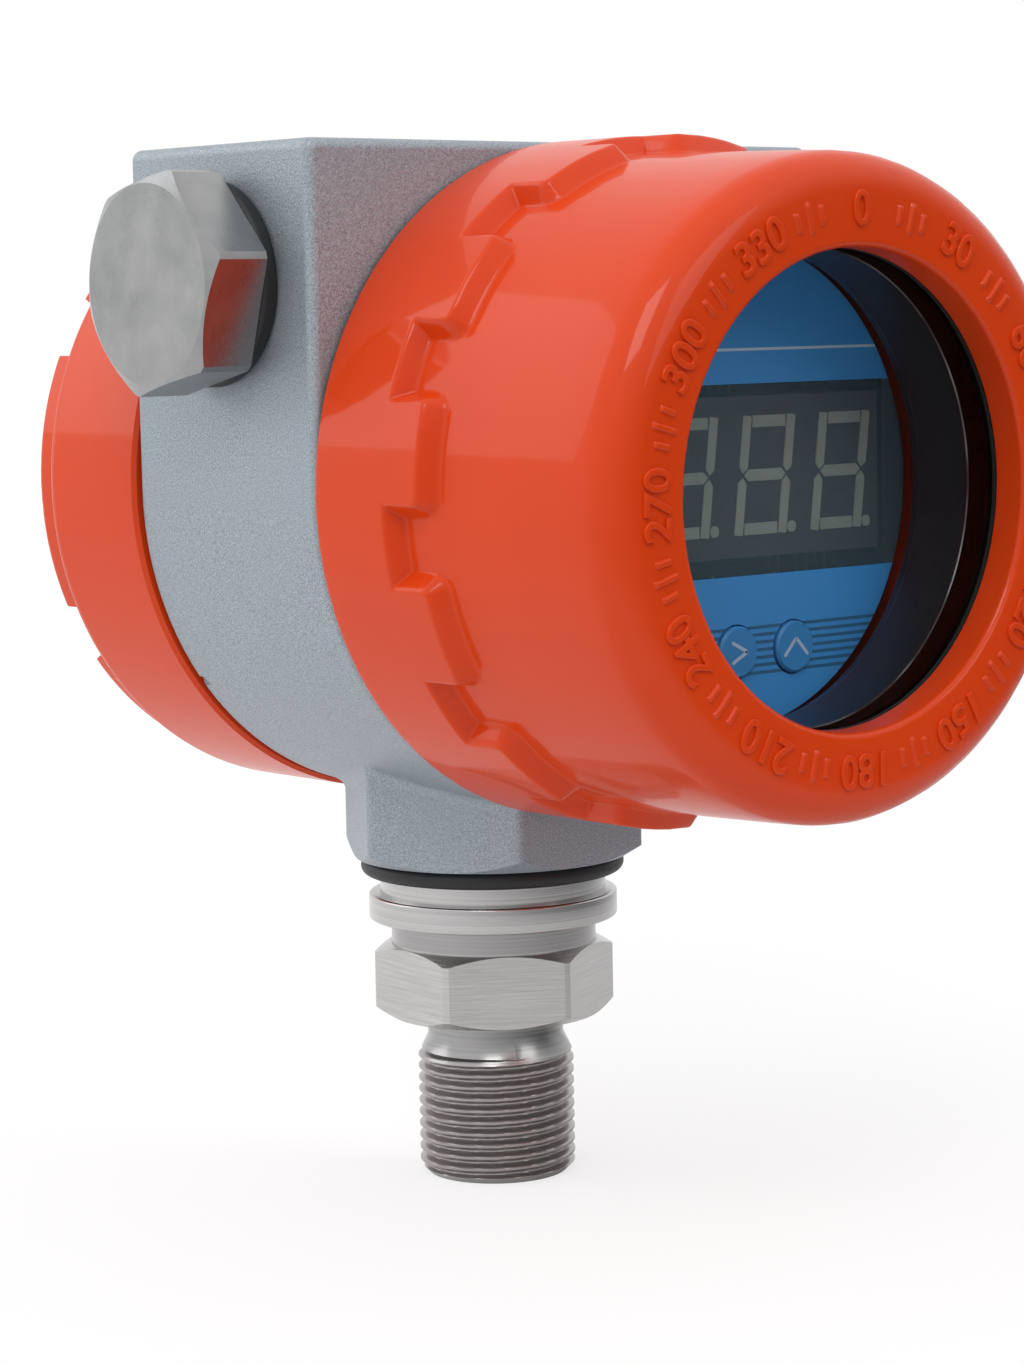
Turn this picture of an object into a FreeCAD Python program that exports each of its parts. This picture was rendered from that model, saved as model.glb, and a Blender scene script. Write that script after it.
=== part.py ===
"""Explosion-proof pressure transmitter with an LED head, as a FreeCAD 1.1 macro (millimetres).

The frame has +Z up and its origin on the axis of the process thread, where its full diameter begins.
The window cover faces -Y, the blind plug -X and the cable gland +X.
Every driving dimension is a cell of the sheet Dims; sketches, features and placements read it there.
Pieces that share an axis are drawn about their own +Z and put in place by one of the frames below.
"""
import FreeCAD, Part
import math
import os
import re

import Sketcher

doc = FreeCAD.newDocument("pressure_transmitter")
Vector, Rotation = FreeCAD.Vector, FreeCAD.Rotation

# ---------------------------------------------------------------- driving dimensions
DIMENSIONS = [
    ("overrun", 1.0, "how far a cut starts outside the metal"),
    ("seat_gap", 0.05, "play between pieces that are seated in one another"),
    ("running_gap", 0.06, "radial play of the cover and gland threads"),
    # housing
    ("housing_step", 3.6, "drum outside the cover thread"),
    ("housing_top_rise", 0.5, "flat top over the drum's own radius"),
    ("housing_half_depth", 18.0, "half of the cast block along the drum axis"),
    ("housing_corner_round", 1.3, "radius along the top corners"),
    ("housing_rim_round", 1.2, "radius round the two end faces"),
    ("collar_wall", 4.0, "threaded collar, to the bore of both compartments"),
    ("entry_wall", 1.0, "metal between the cable entries and the partition's rear face"),
    ("partition_thickness", 4.0, "wall between electronics and terminals"),
    ("spigot_length", 15.0, "threaded collar in front of each end face"),
    ("spigot_mouth_chamfer", 0.8, "lead-in at the end of a collar"),
    ("groove_start", 1.6, "O-ring groove from the end face"),
    ("groove_side_play", 0.35, "free space on each side of an O-ring"),
    ("entry_drop", 16.4, "cable entries below the flat top"),
    ("entry_radius", 10.0, "M20 x 1.5 cable entry"),
    ("entry_depth", 20.0, "length of the entry thread"),
    ("pry_notch_radius", 0.7, "small notch in the rear edge of the drum"),
    ("pry_notch_angle", 37.0, "notch below the left side of the drum"),
    # hexagonal neck boss
    ("boss_across", 35.0, "across flats of the neck boss"),
    ("boss_length", 7.5, "boss under the drum"),
    ("boss_embed", 24.0, "boss top below the drum axis"),
    ("boss_corner_round", 1.2, "radius of the boss's vertical edges"),
    ("boss_root_round", 2.0, "cast radius between boss and drum"),
    ("boss_chamfer_height", 2.0, "turned chamfer at the boss corners"),
    ("boss_chamfer_reach", 3.2, "radial reach of that chamfer"),
    ("neck_bore_radius", 12.0, "M24 thread for the connector"),
    ("neck_bore_spare", 0.5, "thread beyond the connector's shank"),
    ("neck_passage_radius", 9.0, "lead passage into the terminal compartment"),
    ("neck_passage_reach", 4.0, "passage beyond the compartment's bore"),
    # covers
    ("cover_gap", 0.4, "slit between cover rim and housing"),
    ("thread_shoulder", 2.8, "cover thread outside the bore behind it"),
    ("cover_thread_run", 1.4, "bore beyond the end of the collar"),
    ("cover_band_wall", 4.2, "cover's thick band over the thread"),
    ("cover_rim_chamfer", 0.5, "chamfer at the cover rim"),
    ("cavity_shoulder", 3.2, "bore behind the thread, outside the glass seat"),
    ("band_length", 13.2, "plain part of the window cover's band, from the housing face"),
    ("barrel_back_wall", 1.95, "window cover's barrel over the thread, at the band"),
    ("barrel_front_wall", 1.1, "window cover's barrel over the thread, at the front"),
    ("plate_to_retainer", 3.7, "free space between faceplate and retaining ring"),
    ("window_cover_round", 4.5, "front edge radius"),
    ("lip_overlap", 3.7, "lip of the window inside the glass seat"),
    ("window_edge_round", 0.7, "radius of the window's front edge"),
    ("window_lip", 4.5, "thickness of the front ring at the window"),
    ("glass_seat_play", 2.3, "glass seat bore round the faceplate"),
    ("glass_seat_overrun", 0.3, "glass seat bore behind the faceplate's front"),
    ("grip_count", 12, "grip lugs round the window cover"),
    ("grip_length", 6.0, "length of a grip lug"),
    ("grip_half_angle", 8.7, "half of a grip lug's arc"),
    ("window_cover_clocking", -7.5, "angle at which the window cover comes tight"),
    ("blind_cover_wall", 4.1, "blind cover over the thread"),
    ("blind_cover_relief", 0.1, "bore between the thread and the blind cover's end"),
    ("blind_cover_floor", 4.0, "thickness of its end"),
    ("blind_cover_round", 2.4, "end edge radius"),
    ("spanner_lug_count", 6, "raised lugs on the blind cover's end"),
    ("spanner_lug_height", 3.6, "height of those lugs"),
    ("spanner_lug_inset", 1.4, "lug ring inside the blind cover's edge"),
    ("spanner_lug_width", 8.2, "radial width of a lug"),
    ("spanner_lug_half_angle", 24.0, "half of a lug's arc"),
    ("spanner_lug_round", 1.1, "edge radius of a lug"),
    # window
    ("gasket_thickness", 0.5, "flat ring between lip and glass"),
    ("glass_thickness", 4.0, "toughened window"),
    ("glass_play", 0.4, "glass inside its seat"),
    ("retainer_length", 8.0, "threaded ring behind the glass"),
    ("retainer_wall_front", 3.5, "radial wall of the retaining ring at the glass"),
    ("retainer_wall_back", 2.4, "radial wall of the retaining ring at its back"),
    ("retainer_slot_width", 3.0, "spanner slots in the ring"),
    ("retainer_slot_depth", 2.0, "spanner slots in the ring"),
    ("retainer_edge_round", 0.25, "radius of the ring's two bore edges"),
    # cover O-rings
    ("cover_ring_section", 1.9, "section of the cover O-rings"),
    ("cover_ring_relief", 0.3, "free space outside a cover O-ring"),
    # display stack, all heights from the housing's front face
    ("faceplate_front", 27.3, "front of the printed plate"),
    ("faceplate_thickness", 0.5, "printed plate"),
    ("module_corner_play", 0.0654, "carrier ring round the module's corners"),
    ("led_window_side", 0.25, "smoked window beyond each end of the module"),
    ("led_window_border", 1.75, "smoked window over and under the module, on average"),
    ("led_window_rise", 0.65, "its centre over the drum axis"),
    ("led_width", 50.3, "four-digit module"),
    ("led_height", 19.0, "four-digit module"),
    ("led_depth", 8.0, "four-digit module"),
    ("led_rise", 0.95, "its centre over the drum axis"),
    ("led_to_plate", 0.5, "space between module and smoked window"),
    ("carrier_wall", 1.4, "moulded carrier ring"),
    ("board_thickness", 1.6, "circuit boards"),
    ("display_board_play", 0.1, "display board inside the carrier's outside"),
    ("key_row_drop", 8.9, "keys below the smoked window"),
    ("key_pitch", 9.35, "key spacing"),
    ("key_radius", 3.1, "key cap"),
    ("key_side_play", 0.2, "round each key"),
    ("key_proud", 0.6, "key over the plate"),
    ("key_travel", 0.4, "key stroke"),
    ("key_edge", 0.3, "bevel of a key"),
    ("key_free_play", 0.1, "between a pressed key and its switch"),
    ("key_flange_radius", 3.8, "collar that keeps the key in"),
    ("key_flange_thickness", 0.8, "collar that keeps the key in"),
    ("key_stem_radius", 1.5, "stem down to the switch"),
    ("switch_size", 6.0, "tactile switch body"),
    ("switch_height", 3.5, "tactile switch body"),
    ("switch_plunger_radius", 1.7, "tactile switch plunger"),
    ("switch_plunger_height", 0.5, "tactile switch plunger"),
    ("main_board_play", 3.0, "main board inside the compartment"),
    ("main_board_height", 3.0, "back of the main board over the housing face"),
    ("post_inset", 3.25, "lower posts inside the carrier's bore"),
    ("post_side_angle", 43.3, "lower posts below the level of the axis"),
    ("post_top_inset", 5.3, "upper post inside the carrier's bore"),
    ("post_across", 5.0, "hexagonal posts"),
    ("post_thread_radius", 1.5, "M3"),
    ("post_stud_length", 2.8, "stud of a post"),
    ("post_thread_spare", 0.6, "thread beyond the end of a stud or screw"),
    ("board_hole_radius", 1.7, "board holes"),
    ("screw_head_radius", 2.7, "M3 pan head"),
    ("screw_head_height", 2.0, "M3 pan head"),
    ("screw_length", 5.5, "M3 screw under the head"),
    ("screw_slot_width", 0.8, "driver slot"),
    ("screw_slot_depth", 1.0, "driver slot"),
    ("converter_width", 24.0, "converter block on the main board"),
    ("converter_length", 16.0, "converter block"),
    ("converter_height", 8.0, "converter block"),
    ("converter_rise", 5.0, "converter block over the axis"),
    ("header_width", 12.0, "pin header between the boards"),
    ("header_thickness", 2.6, "pin header between the boards"),
    ("header_drop", 9.0, "pin header below the axis"),
    # feed-through and leads
    ("feed_drop", 20.0, "feed-through below the axis"),
    ("feed_radius", 5.0, "hole in the partition"),
    ("feed_flange_radius", 6.5, "flange of the bush"),
    ("feed_flange_thickness", 1.2, "flange of the bush"),
    ("feed_tail", 1.5, "bush behind the partition"),
    ("ribbon_width", 8.0, "ribbon to the main board"),
    ("ribbon_thickness", 1.2, "ribbon to the main board"),
    ("lead_radius", 2.0, "sleeved leads from the cell"),
    # terminals, heights from the rear face of the partition
    ("block_width", 46.0, "terminal block"),
    ("block_height", 20.0, "terminal block"),
    ("block_base", 7.0, "low step of the block"),
    ("block_top", 15.0, "high step of the block"),
    ("block_step", 4.0, "edge of the high step below the axis"),
    ("terminal_pitch", 11.0, "terminal spacing"),
    ("terminal_rise", 3.2, "terminals over the axis"),
    ("clamp_size", 8.4, "square clamp plate"),
    ("clamp_thickness", 1.2, "square clamp plate"),
    ("rib_thickness", 1.4, "barrier ribs"),
    ("rib_height", 3.0, "barrier ribs"),
    ("rib_excess", 2.0, "barrier ribs longer than a clamp plate"),
    ("terminal_thread_radius", 2.0, "M4"),
    ("terminal_hole_play", 0.2, "round a screw in its clamp or block"),
    ("screw_end_gap", 0.3, "hole beyond the end of a screw"),
    ("terminal_head_radius", 3.3, "M4 pan head"),
    ("terminal_head_height", 2.4, "M4 pan head"),
    ("terminal_screw_length", 9.0, "M4 screw under the head"),
    ("block_screw_inset", 4.5, "fixing screws inside the block's ends"),
    ("block_screw_play", 0.2, "their heads below the high step"),
    ("fixing_hole_depth", 2.8, "blind holes in the partition"),
    ("inner_earth_play", 0.6, "earth screw head inside the compartment"),
    ("inner_earth_gap", 0.7, "earth screw head below the terminal block"),
    # blind plug
    ("plug_shank_length", 14.0, "plug thread"),
    ("plug_across", 24.0, "across flats"),
    ("plug_head_height", 7.8, "hexagon"),
    ("plug_face_inset", 0.25, "turned face inside the flats"),
    ("plug_corner_reach", 1.6, "turned corners outside the flats"),
    ("plug_clocking", -16.9, "angle at which the plug comes tight"),
    ("plug_washer_thickness", 2.6, "rubber washer"),
    ("plug_washer_width", 2.2, "rubber washer outside the thread"),
    ("plug_washer_round", 0.9, "rubber washer"),
    # cable gland
    ("gland_across", 24.0, "across flats of body and nut"),
    ("gland_ring_thickness", 1.8, "sealing ring"),
    ("gland_ring_width", 2.0, "sealing ring outside the thread"),
    ("gland_hex_height", 5.5, "hexagon of the body"),
    ("gland_neck_radius", 9.4, "thread for the nut"),
    ("gland_neck_length", 9.0, "thread for the nut"),
    ("gland_bore_radius", 5.0, "way through the body"),
    ("gland_seal_radius", 6.8, "rubber bush"),
    ("gland_seal_bore", 4.0, "rubber bush, for a cable up to 8 mm"),
    ("gland_seal_length", 9.5, "rubber bush"),
    ("gland_nut_lift", 2.2, "open space between body and nut"),
    ("gland_nut_hex", 7.0, "hexagon of the nut"),
    ("gland_nut_dome", 6.0, "domed end of the nut"),
    ("gland_mouth_radius", 4.8, "hole in the nut"),
    ("gland_nut_wall", 1.8, "end wall of the nut"),
    ("gland_face_inset", 0.2, "turned faces inside the flats"),
    ("gland_corner_reach", 1.5, "turned corners outside the flats"),
    ("gland_seal_step", 1.0, "bush beyond the body's mouth"),
    ("gland_thread_spare", 0.6, "nut's thread beyond the body's mouth"),
    ("gland_dome_inset", 0.4, "dome inside the flats"),
    ("gland_dome_taper", 1.0, "dome narrower at its knee"),
    ("gland_dome_knee", 2.6, "knee of the dome over the hexagon"),
    ("gland_dome_rim", 3.2, "flat rim round the mouth"),
    # outer earth terminal on the gland side
    ("earth_y", 9.0, "earth screw behind the drum centre"),
    ("earth_rise", 3.0, "earth screw over the drum axis"),
    ("earth_pad_radius", 6.0, "cast pad"),
    ("earth_pad_height", 1.0, "cast pad"),
    ("earth_thread_radius", 2.5, "M5"),
    ("earth_hole_depth", 5.0, "thread in the pad"),
    ("earth_end_gap", 0.4, "hole beyond the end of the screw"),
    ("earth_hole_play", 0.2, "washer round the screw"),
    ("earth_washer_radius", 5.0, "plain washer"),
    ("earth_washer_thickness", 1.0, "plain washer"),
    ("earth_head_radius", 4.4, "M5 pan head"),
    ("earth_head_height", 3.2, "M5 pan head"),
    ("earth_head_rise", 0.7, "bevel of the head"),
    ("earth_head_inset", 0.9, "bevel of the head"),
    ("earth_slot_width", 1.2, "driver slot and cross"),
    ("earth_slot_depth", 1.2, "driver slot"),
    ("earth_cross_depth", 1.6, "cross in the slot"),
    # process connector, heights from the start of its full thread
    ("process_thread_radius", 10.0, "M20 x 1.5"),
    ("process_thread_length", 14.1, "M20 x 1.5"),
    ("process_end_chamfer", 1.1, "lead-in"),
    ("relief_radius", 8.7, "thread relief"),
    ("runout_length", 2.7, "conical run-out of the thread"),
    ("relief_length", 2.8, "relief between run-out and hexagon"),
    ("hexagon_height", 9.3, "hexagon"),
    ("hexagon_across", 27.0, "across flats"),
    ("hexagon_corner_reach", 1.85, "turned corners outside the flats"),
    ("hexagon_face_inset", 0.1, "turned faces inside the flats"),
    ("waist_radius", 13.1, "turned waist"),
    ("waist_length", 3.2, "turned waist"),
    ("collar_radius", 15.9, "turned collar"),
    ("collar_height", 3.3, "turned collar"),
    ("collar_edge", 0.35, "broken edge"),
    ("shoulder_radius", 14.45, "cylinder under the boss"),
    ("shoulder_height", 4.7, "cylinder under the boss"),
    ("shank_length", 11.0, "M24 thread into the boss"),
    ("port_radius", 2.0, "pressure port"),
    ("port_mouth_radius", 3.0, "countersunk mouth of the port"),
    ("chamber_floor", 5.3, "floor of the cell chamber over the hexagon's underside"),
    ("chamber_radius", 9.6, "cell chamber"),
    ("neck_ring_section", 2.3, "O-ring under the boss"),
    ("neck_ring_play", 0.1, "between that ring and the shoulder"),
    # measuring cell, stacked on the chamber floor
    ("cell_seal_section", 1.8, "O-ring under the cell"),
    ("cell_play", 0.1, "measuring cell in its chamber"),
    ("cell_height", 12.0, "measuring cell"),
    ("cell_header_radius", 6.0, "glass header on the cell"),
    ("cell_header_height", 2.5, "glass header on the cell"),
    ("cell_cup_radius", 7.0, "recess over the diaphragm"),
    ("cell_cup_depth", 0.8, "recess over the diaphragm"),
    ("retainer_nut_height", 4.0, "ring that holds the cell down"),
    ("retainer_nut_bore", 6.6, "ring that holds the cell down"),
    ("retainer_nut_slot_width", 2.4, "spanner slots in that ring"),
    ("retainer_nut_slot_depth", 1.5, "spanner slots in that ring"),
]

# Sizes that follow from the driving ones, from the LED module outwards and from the thread upwards.
FOLLOWING = {
    "led_window_width": "led_width + 2 * led_window_side",
    "led_window_height": "led_height + 2 * led_window_border",
    "key_drop": "led_window_height / 2 - led_window_rise + key_row_drop",
    "module_corner": "sqrt((led_width / 2)^2 + (led_height / 2 + led_rise)^2)",
    "key_reach": "sqrt(key_pitch^2 + key_drop^2) + key_flange_radius",
    "carrier_bore": "max(module_corner; key_reach) + module_corner_play",
    "faceplate_radius": "carrier_bore + carrier_wall",
    "display_board_radius": "faceplate_radius - display_board_play",
    "post_side_x": "(carrier_bore - post_inset) * cos(post_side_angle * 1deg)",
    "post_side_drop": "(carrier_bore - post_inset) * sin(post_side_angle * 1deg)",
    "post_top_rise": "carrier_bore - post_top_inset",
    "glass_seat_radius": "faceplate_radius + glass_seat_play",
    "glass_seat_end": "faceplate_front - glass_seat_overrun",
    "glass_radius": "glass_seat_radius - glass_play",
    "window_radius": "glass_seat_radius - lip_overlap",
    "cover_cavity_radius": "glass_seat_radius + cavity_shoulder",
    "cover_thread_radius": "cover_cavity_radius + thread_shoulder",
    "cover_band_radius": "cover_thread_radius + cover_band_wall",
    "barrel_back_radius": "cover_thread_radius + barrel_back_wall",
    "barrel_front_radius": "cover_thread_radius + barrel_front_wall",
    "blind_cover_radius": "cover_thread_radius + blind_cover_wall",
    "spanner_lug_outer": "blind_cover_radius - spanner_lug_inset",
    "spanner_lug_inner": "spanner_lug_outer - spanner_lug_width",
    "window_cover_length": "faceplate_front + plate_to_retainer + retainer_length + glass_thickness"
                           " + gasket_thickness + window_lip",
    "blind_cover_length": "spigot_length + cover_thread_run + blind_cover_relief + blind_cover_floor",
    "groove_width": "cover_ring_section + 2 * groove_side_play",
    "groove_depth": "cover_ring_section + cover_ring_relief",
    "cavity_radius": "cover_thread_radius - collar_wall",
    "main_board_radius": "cavity_radius - main_board_play",
    "housing_radius": "cover_thread_radius + housing_step",
    "housing_rise": "housing_radius + housing_top_rise",
    "entry_rise": "housing_rise - entry_drop",
    "partition_front": "entry_radius + entry_wall + partition_thickness",
    "block_screw_x": "block_width / 2 - block_screw_inset",
    "block_screw_drop": "block_step + terminal_head_radius + block_screw_play",
    "inner_earth_drop": "block_height / 2 + inner_earth_gap + terminal_head_radius",
    "inner_earth_x": "sqrt((cavity_radius - terminal_head_radius - inner_earth_play)^2 - inner_earth_drop^2)",
    "plug_face_radius": "plug_across / 2 - plug_face_inset",
    "plug_corner_radius": "plug_across / 2 + plug_corner_reach",
    "plug_washer_radius": "entry_radius + plug_washer_width",
    "gland_ring_radius": "entry_radius + gland_ring_width",
    "gland_face_radius": "gland_across / 2 - gland_face_inset",
    "gland_corner_radius": "gland_across / 2 + gland_corner_reach",
    "relief_start": "process_thread_length + runout_length",
    "hexagon_base": "relief_start + relief_length",
    "hexagon_face_radius": "hexagon_across / 2 - hexagon_face_inset",
    "hexagon_corner_radius": "hexagon_across / 2 + hexagon_corner_reach",
    "waist_top": "hexagon_base + hexagon_height + waist_length",
    "collar_top": "waist_top + collar_height",
    "boss_base_z": "collar_top + shoulder_height",
    "drum_axis_z": "boss_base_z + boss_length + housing_radius",
    "neck_bore_depth": "shank_length + neck_bore_spare",
    "chamber_base": "hexagon_base + chamber_floor",
    "cell_radius": "chamber_radius - cell_play",
}

sheet = doc.addObject("Spreadsheet::Sheet", "Dims")
for row, (alias, value, note) in enumerate(DIMENSIONS, start=1):
    sheet.set("A%d" % row, alias)
    sheet.set("B%d" % row, str(value))
    sheet.set("C%d" % row, note)
    sheet.setAlias("B%d" % row, alias)
doc.recompute()

FUNCTIONS = ("sin", "cos", "tan", "sqrt", "max", "deg")
ROUGH = 5.0             # size of a sketch before its constraints pull it into shape
TOLERANCE = 1e-3        # for picking edges by their place


def bound(expression):
    """The expression with every size turned into references to the sheet's driving dimensions."""
    def refer(match):
        word = match.group(0)
        if word in FOLLOWING:
            return "(%s)" % bound(FOLLOWING[word])
        return word if word in FUNCTIONS else "Dims." + word
    return re.sub(r"[a-z][a-z_]{2,}", refer, expression)


def cell(size):
    """Present value of a size, driving or following."""
    return float(sheet.evalExpression(bound(size)))


def fix(target, path, expression):
    target.setExpression(path, bound(expression))


# ---------------------------------------------------------------- sketches
def start_sketch(body, plane, name, lift="0"):
    """Empty sketch on one of the body's own planes, moved along the plane's normal by lift."""
    sketch = body.newObject("Sketcher::SketchObject", name)
    support = [part for part in body.Origin.OriginFeatures if part.Role == plane + "_Plane"][0]
    sketch.AttachmentSupport = (support, [""])
    sketch.MapMode = "FlatFace"
    if lift != "0":
        fix(sketch, "AttachmentOffset.Base.z", lift)
    return sketch


def pin_point(sketch, geometry, end, x, y, rough):
    """Hold one point of the sketch at (x, y), both given as expressions."""
    for kind, axis, expression, value in (("DistanceX", -2, x, rough.x), ("DistanceY", -1, y, rough.y)):
        if expression == "0":
            sketch.addConstraint(Sketcher.Constraint("PointOnObject", geometry, end, axis))
        else:
            index = sketch.addConstraint(Sketcher.Constraint(kind, -1, 1, geometry, end, value))
            fix(sketch, "Constraints[%d]" % index, expression)


def add_polygon(sketch, points):
    """Closed outline through points given as pairs of expressions."""
    first, count = sketch.GeometryCount, len(points)
    rough = [Vector(ROUGH * (2 + math.cos(2 * math.pi * k / count)),
                    ROUGH * (2 + math.sin(2 * math.pi * k / count)), 0) for k in range(count)]
    for k in range(count):
        sketch.addGeometry(Part.LineSegment(rough[k], rough[(k + 1) % count]), False)
    for k in range(count):
        sketch.addConstraint(Sketcher.Constraint("Coincident", first + k, 2, first + (k + 1) % count, 1))
    for k, (x, y) in enumerate(points):
        pin_point(sketch, first + k, 1, x, y, rough[k])


def add_circle(sketch, radius, x="0", y="0"):
    centre = Vector(ROUGH, ROUGH, 0)
    index = sketch.addGeometry(Part.Circle(centre, Vector(0, 0, 1), ROUGH), False)
    bond = sketch.addConstraint(Sketcher.Constraint("Radius", index, ROUGH))
    fix(sketch, "Constraints[%d]" % bond, radius)
    pin_point(sketch, index, 3, x, y, centre)


def rectangle(width, height, x="0", y="0"):
    """Corners of a rectangle centred on (x, y)."""
    return [("%s %s (%s) / 2" % (x, sx, width), "%s %s (%s) / 2" % (y, sy, height))
            for sx, sy in (("-", "-"), ("+", "-"), ("+", "+"), ("-", "+"))]


def hexagon(across, x="0", y="0"):
    """Corners of a regular hexagon, two of them level with its centre along X."""
    corners = [("2", "0"), ("1", "1"), ("-1", "1"), ("-2", "0"), ("-1", "-1"), ("1", "-1")]
    return [("%s + %s * (%s) / 2 / sqrt(3)" % (x, i, across), "%s + %s * (%s) / 2" % (y, j, across))
            for i, j in corners]


def add_sector(sketch, inner, outer, half_angle):
    """Ring sector about +X between two radii."""
    half = math.radians(20)
    for index, (radius, size) in enumerate(((inner, 2 * ROUGH), (outer, 3 * ROUGH))):
        circle = Part.Circle(Vector(0, 0, 0), Vector(0, 0, 1), size)
        sketch.addGeometry(Part.ArcOfCircle(circle, -half, half), False)
        sketch.addConstraint(Sketcher.Constraint("Coincident", index, 3, -1, 1))
        bond = sketch.addConstraint(Sketcher.Constraint("Radius", index, size))
        fix(sketch, "Constraints[%d]" % bond, radius)
        bond = sketch.addConstraint(Sketcher.Constraint("DistanceY", -1, 1, index, 2, size * math.sin(half)))
        fix(sketch, "Constraints[%d]" % bond, "(%s) * sin(%s * 1deg)" % (radius, half_angle))
        sketch.addConstraint(Sketcher.Constraint("Symmetric", index, 1, index, 2, -1))
    for end in (1, 2):
        start = sketch.getPoint(0, end)
        stop = sketch.getPoint(1, end)
        line = sketch.addGeometry(Part.LineSegment(start, stop), False)
        sketch.addConstraint(Sketcher.Constraint("Coincident", line, 1, 0, end))
        sketch.addConstraint(Sketcher.Constraint("Coincident", line, 2, 1, end))


def outline(body, plane, name, points, lift="0"):
    sketch = start_sketch(body, plane, name, lift)
    add_polygon(sketch, points)
    return sketch


def rounds(body, plane, name, circles, lift="0"):
    """Sketch of circles, each (radius, x, y) as expressions."""
    sketch = start_sketch(body, plane, name, lift)
    for circle in circles:
        add_circle(sketch, *circle)
    return sketch


# ---------------------------------------------------------------- features
def new_body(label):
    return doc.addObject("PartDesign::Body", label)


def feature(body, kind, name, sketch, **settings):
    made = body.newObject("PartDesign::" + kind, name)
    made.Profile = sketch
    for key, value in settings.items():
        setattr(made, key, value)
    sketch.Visibility = False
    return made


def revolve(body, name, points):
    """Turned solid: points are (radius, height) about the body's Z axis."""
    sketch = outline(body, "XZ", name + "_profile", points)
    return feature(body, "Revolution", name, sketch, ReferenceAxis=(sketch, ["V_Axis"]), Angle=360)


def turn_off(body, name, points):
    """Turned cut: points are (radius, height) about the body's Z axis."""
    sketch = outline(body, "XZ", name + "_profile", points)
    return feature(body, "Groove", name, sketch, ReferenceAxis=(sketch, ["V_Axis"]), Angle=360)


def pad(body, name, sketch, length, **settings):
    made = feature(body, "Pad", name, sketch, **settings)
    fix(made, "Length", length)
    return made


def pocket(body, name, sketch, depth, **settings):
    """Cut from the sketch against its normal, or along it with Reversed."""
    made = feature(body, "Pocket", name, sketch, **settings)
    fix(made, "Length", depth)
    return made


def polar(body, name, original, count, sketch):
    """Repeat a feature evenly round the sketch's normal."""
    made = body.newObject("PartDesign::PolarPattern", name)
    made.Originals = [original]
    made.Axis = (sketch, ["N_Axis"])
    made.Angle = 360
    fix(made, "Occurrences", count)
    body.Tip = made
    return made


def dress(body, kind, name, base, chosen, size):
    """Fillet or chamfer of the base feature's edges that the test picks."""
    doc.recompute()
    names = ["Edge%d" % (k + 1) for k, edge in enumerate(base.Shape.Edges) if chosen(edge)]
    made = body.newObject("PartDesign::" + kind, name)
    made.Base = (base, names)
    fix(made, "Radius" if kind == "Fillet" else "Size", size)
    body.Tip = made
    return made


def edge_box(edge):
    box = edge.BoundBox
    return box.XLength, box.YLength, box.ZLength, box.Center


def ring_edge(radius, height):
    """Test for the full circle of a given radius at a given height on the body's Z axis."""
    def test(edge):
        wide, deep, tall, centre = edge_box(edge)
        return (tall < TOLERANCE and abs(centre.z - height) < TOLERANCE
                and abs(wide - 2 * radius) < TOLERANCE and abs(deep - 2 * radius) < TOLERANCE)
    return test


def place(item, rotation, x="0", y="0", z="0"):
    """Put a piece in the frame: a fixed turn and bound coordinates."""
    item.Placement = FreeCAD.Placement(Vector(0, 0, 0), rotation)
    for axis, expression in (("x", x), ("y", y), ("z", z)):
        if expression != "0":
            fix(item, "Placement.Base." + axis, expression)


UPRIGHT = Rotation()
FORWARD = Rotation(Vector(1, 0, 0), 90)         # own +Z to -Y, own +Y up
REARWARD = Rotation(Vector(0, 1, 1), 180)       # own +Z to +Y, own +Y up
LEFTWARD = Rotation(Vector(0, 1, 0), -90)       # own +Z to -X
RIGHTWARD = Rotation(Vector(0, 1, 0), 90)       # own +Z to +X


def about_own_axis(alias):
    return Rotation(Vector(0, 0, 1), cell(alias))


def on_front_face(item, turn=UPRIGHT):
    """Own height 0 on the housing's front face, own Z forward along the drum axis."""
    place(item, FORWARD.multiply(turn), y="-housing_half_depth", z="drum_axis_z")


def on_rear_face(item):
    place(item, REARWARD, y="housing_half_depth", z="drum_axis_z")


def on_partition(item):
    """Own height 0 on the partition's rear face, own Z rearward along the drum axis."""
    place(item, REARWARD, y="-partition_front + partition_thickness", z="drum_axis_z")


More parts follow.
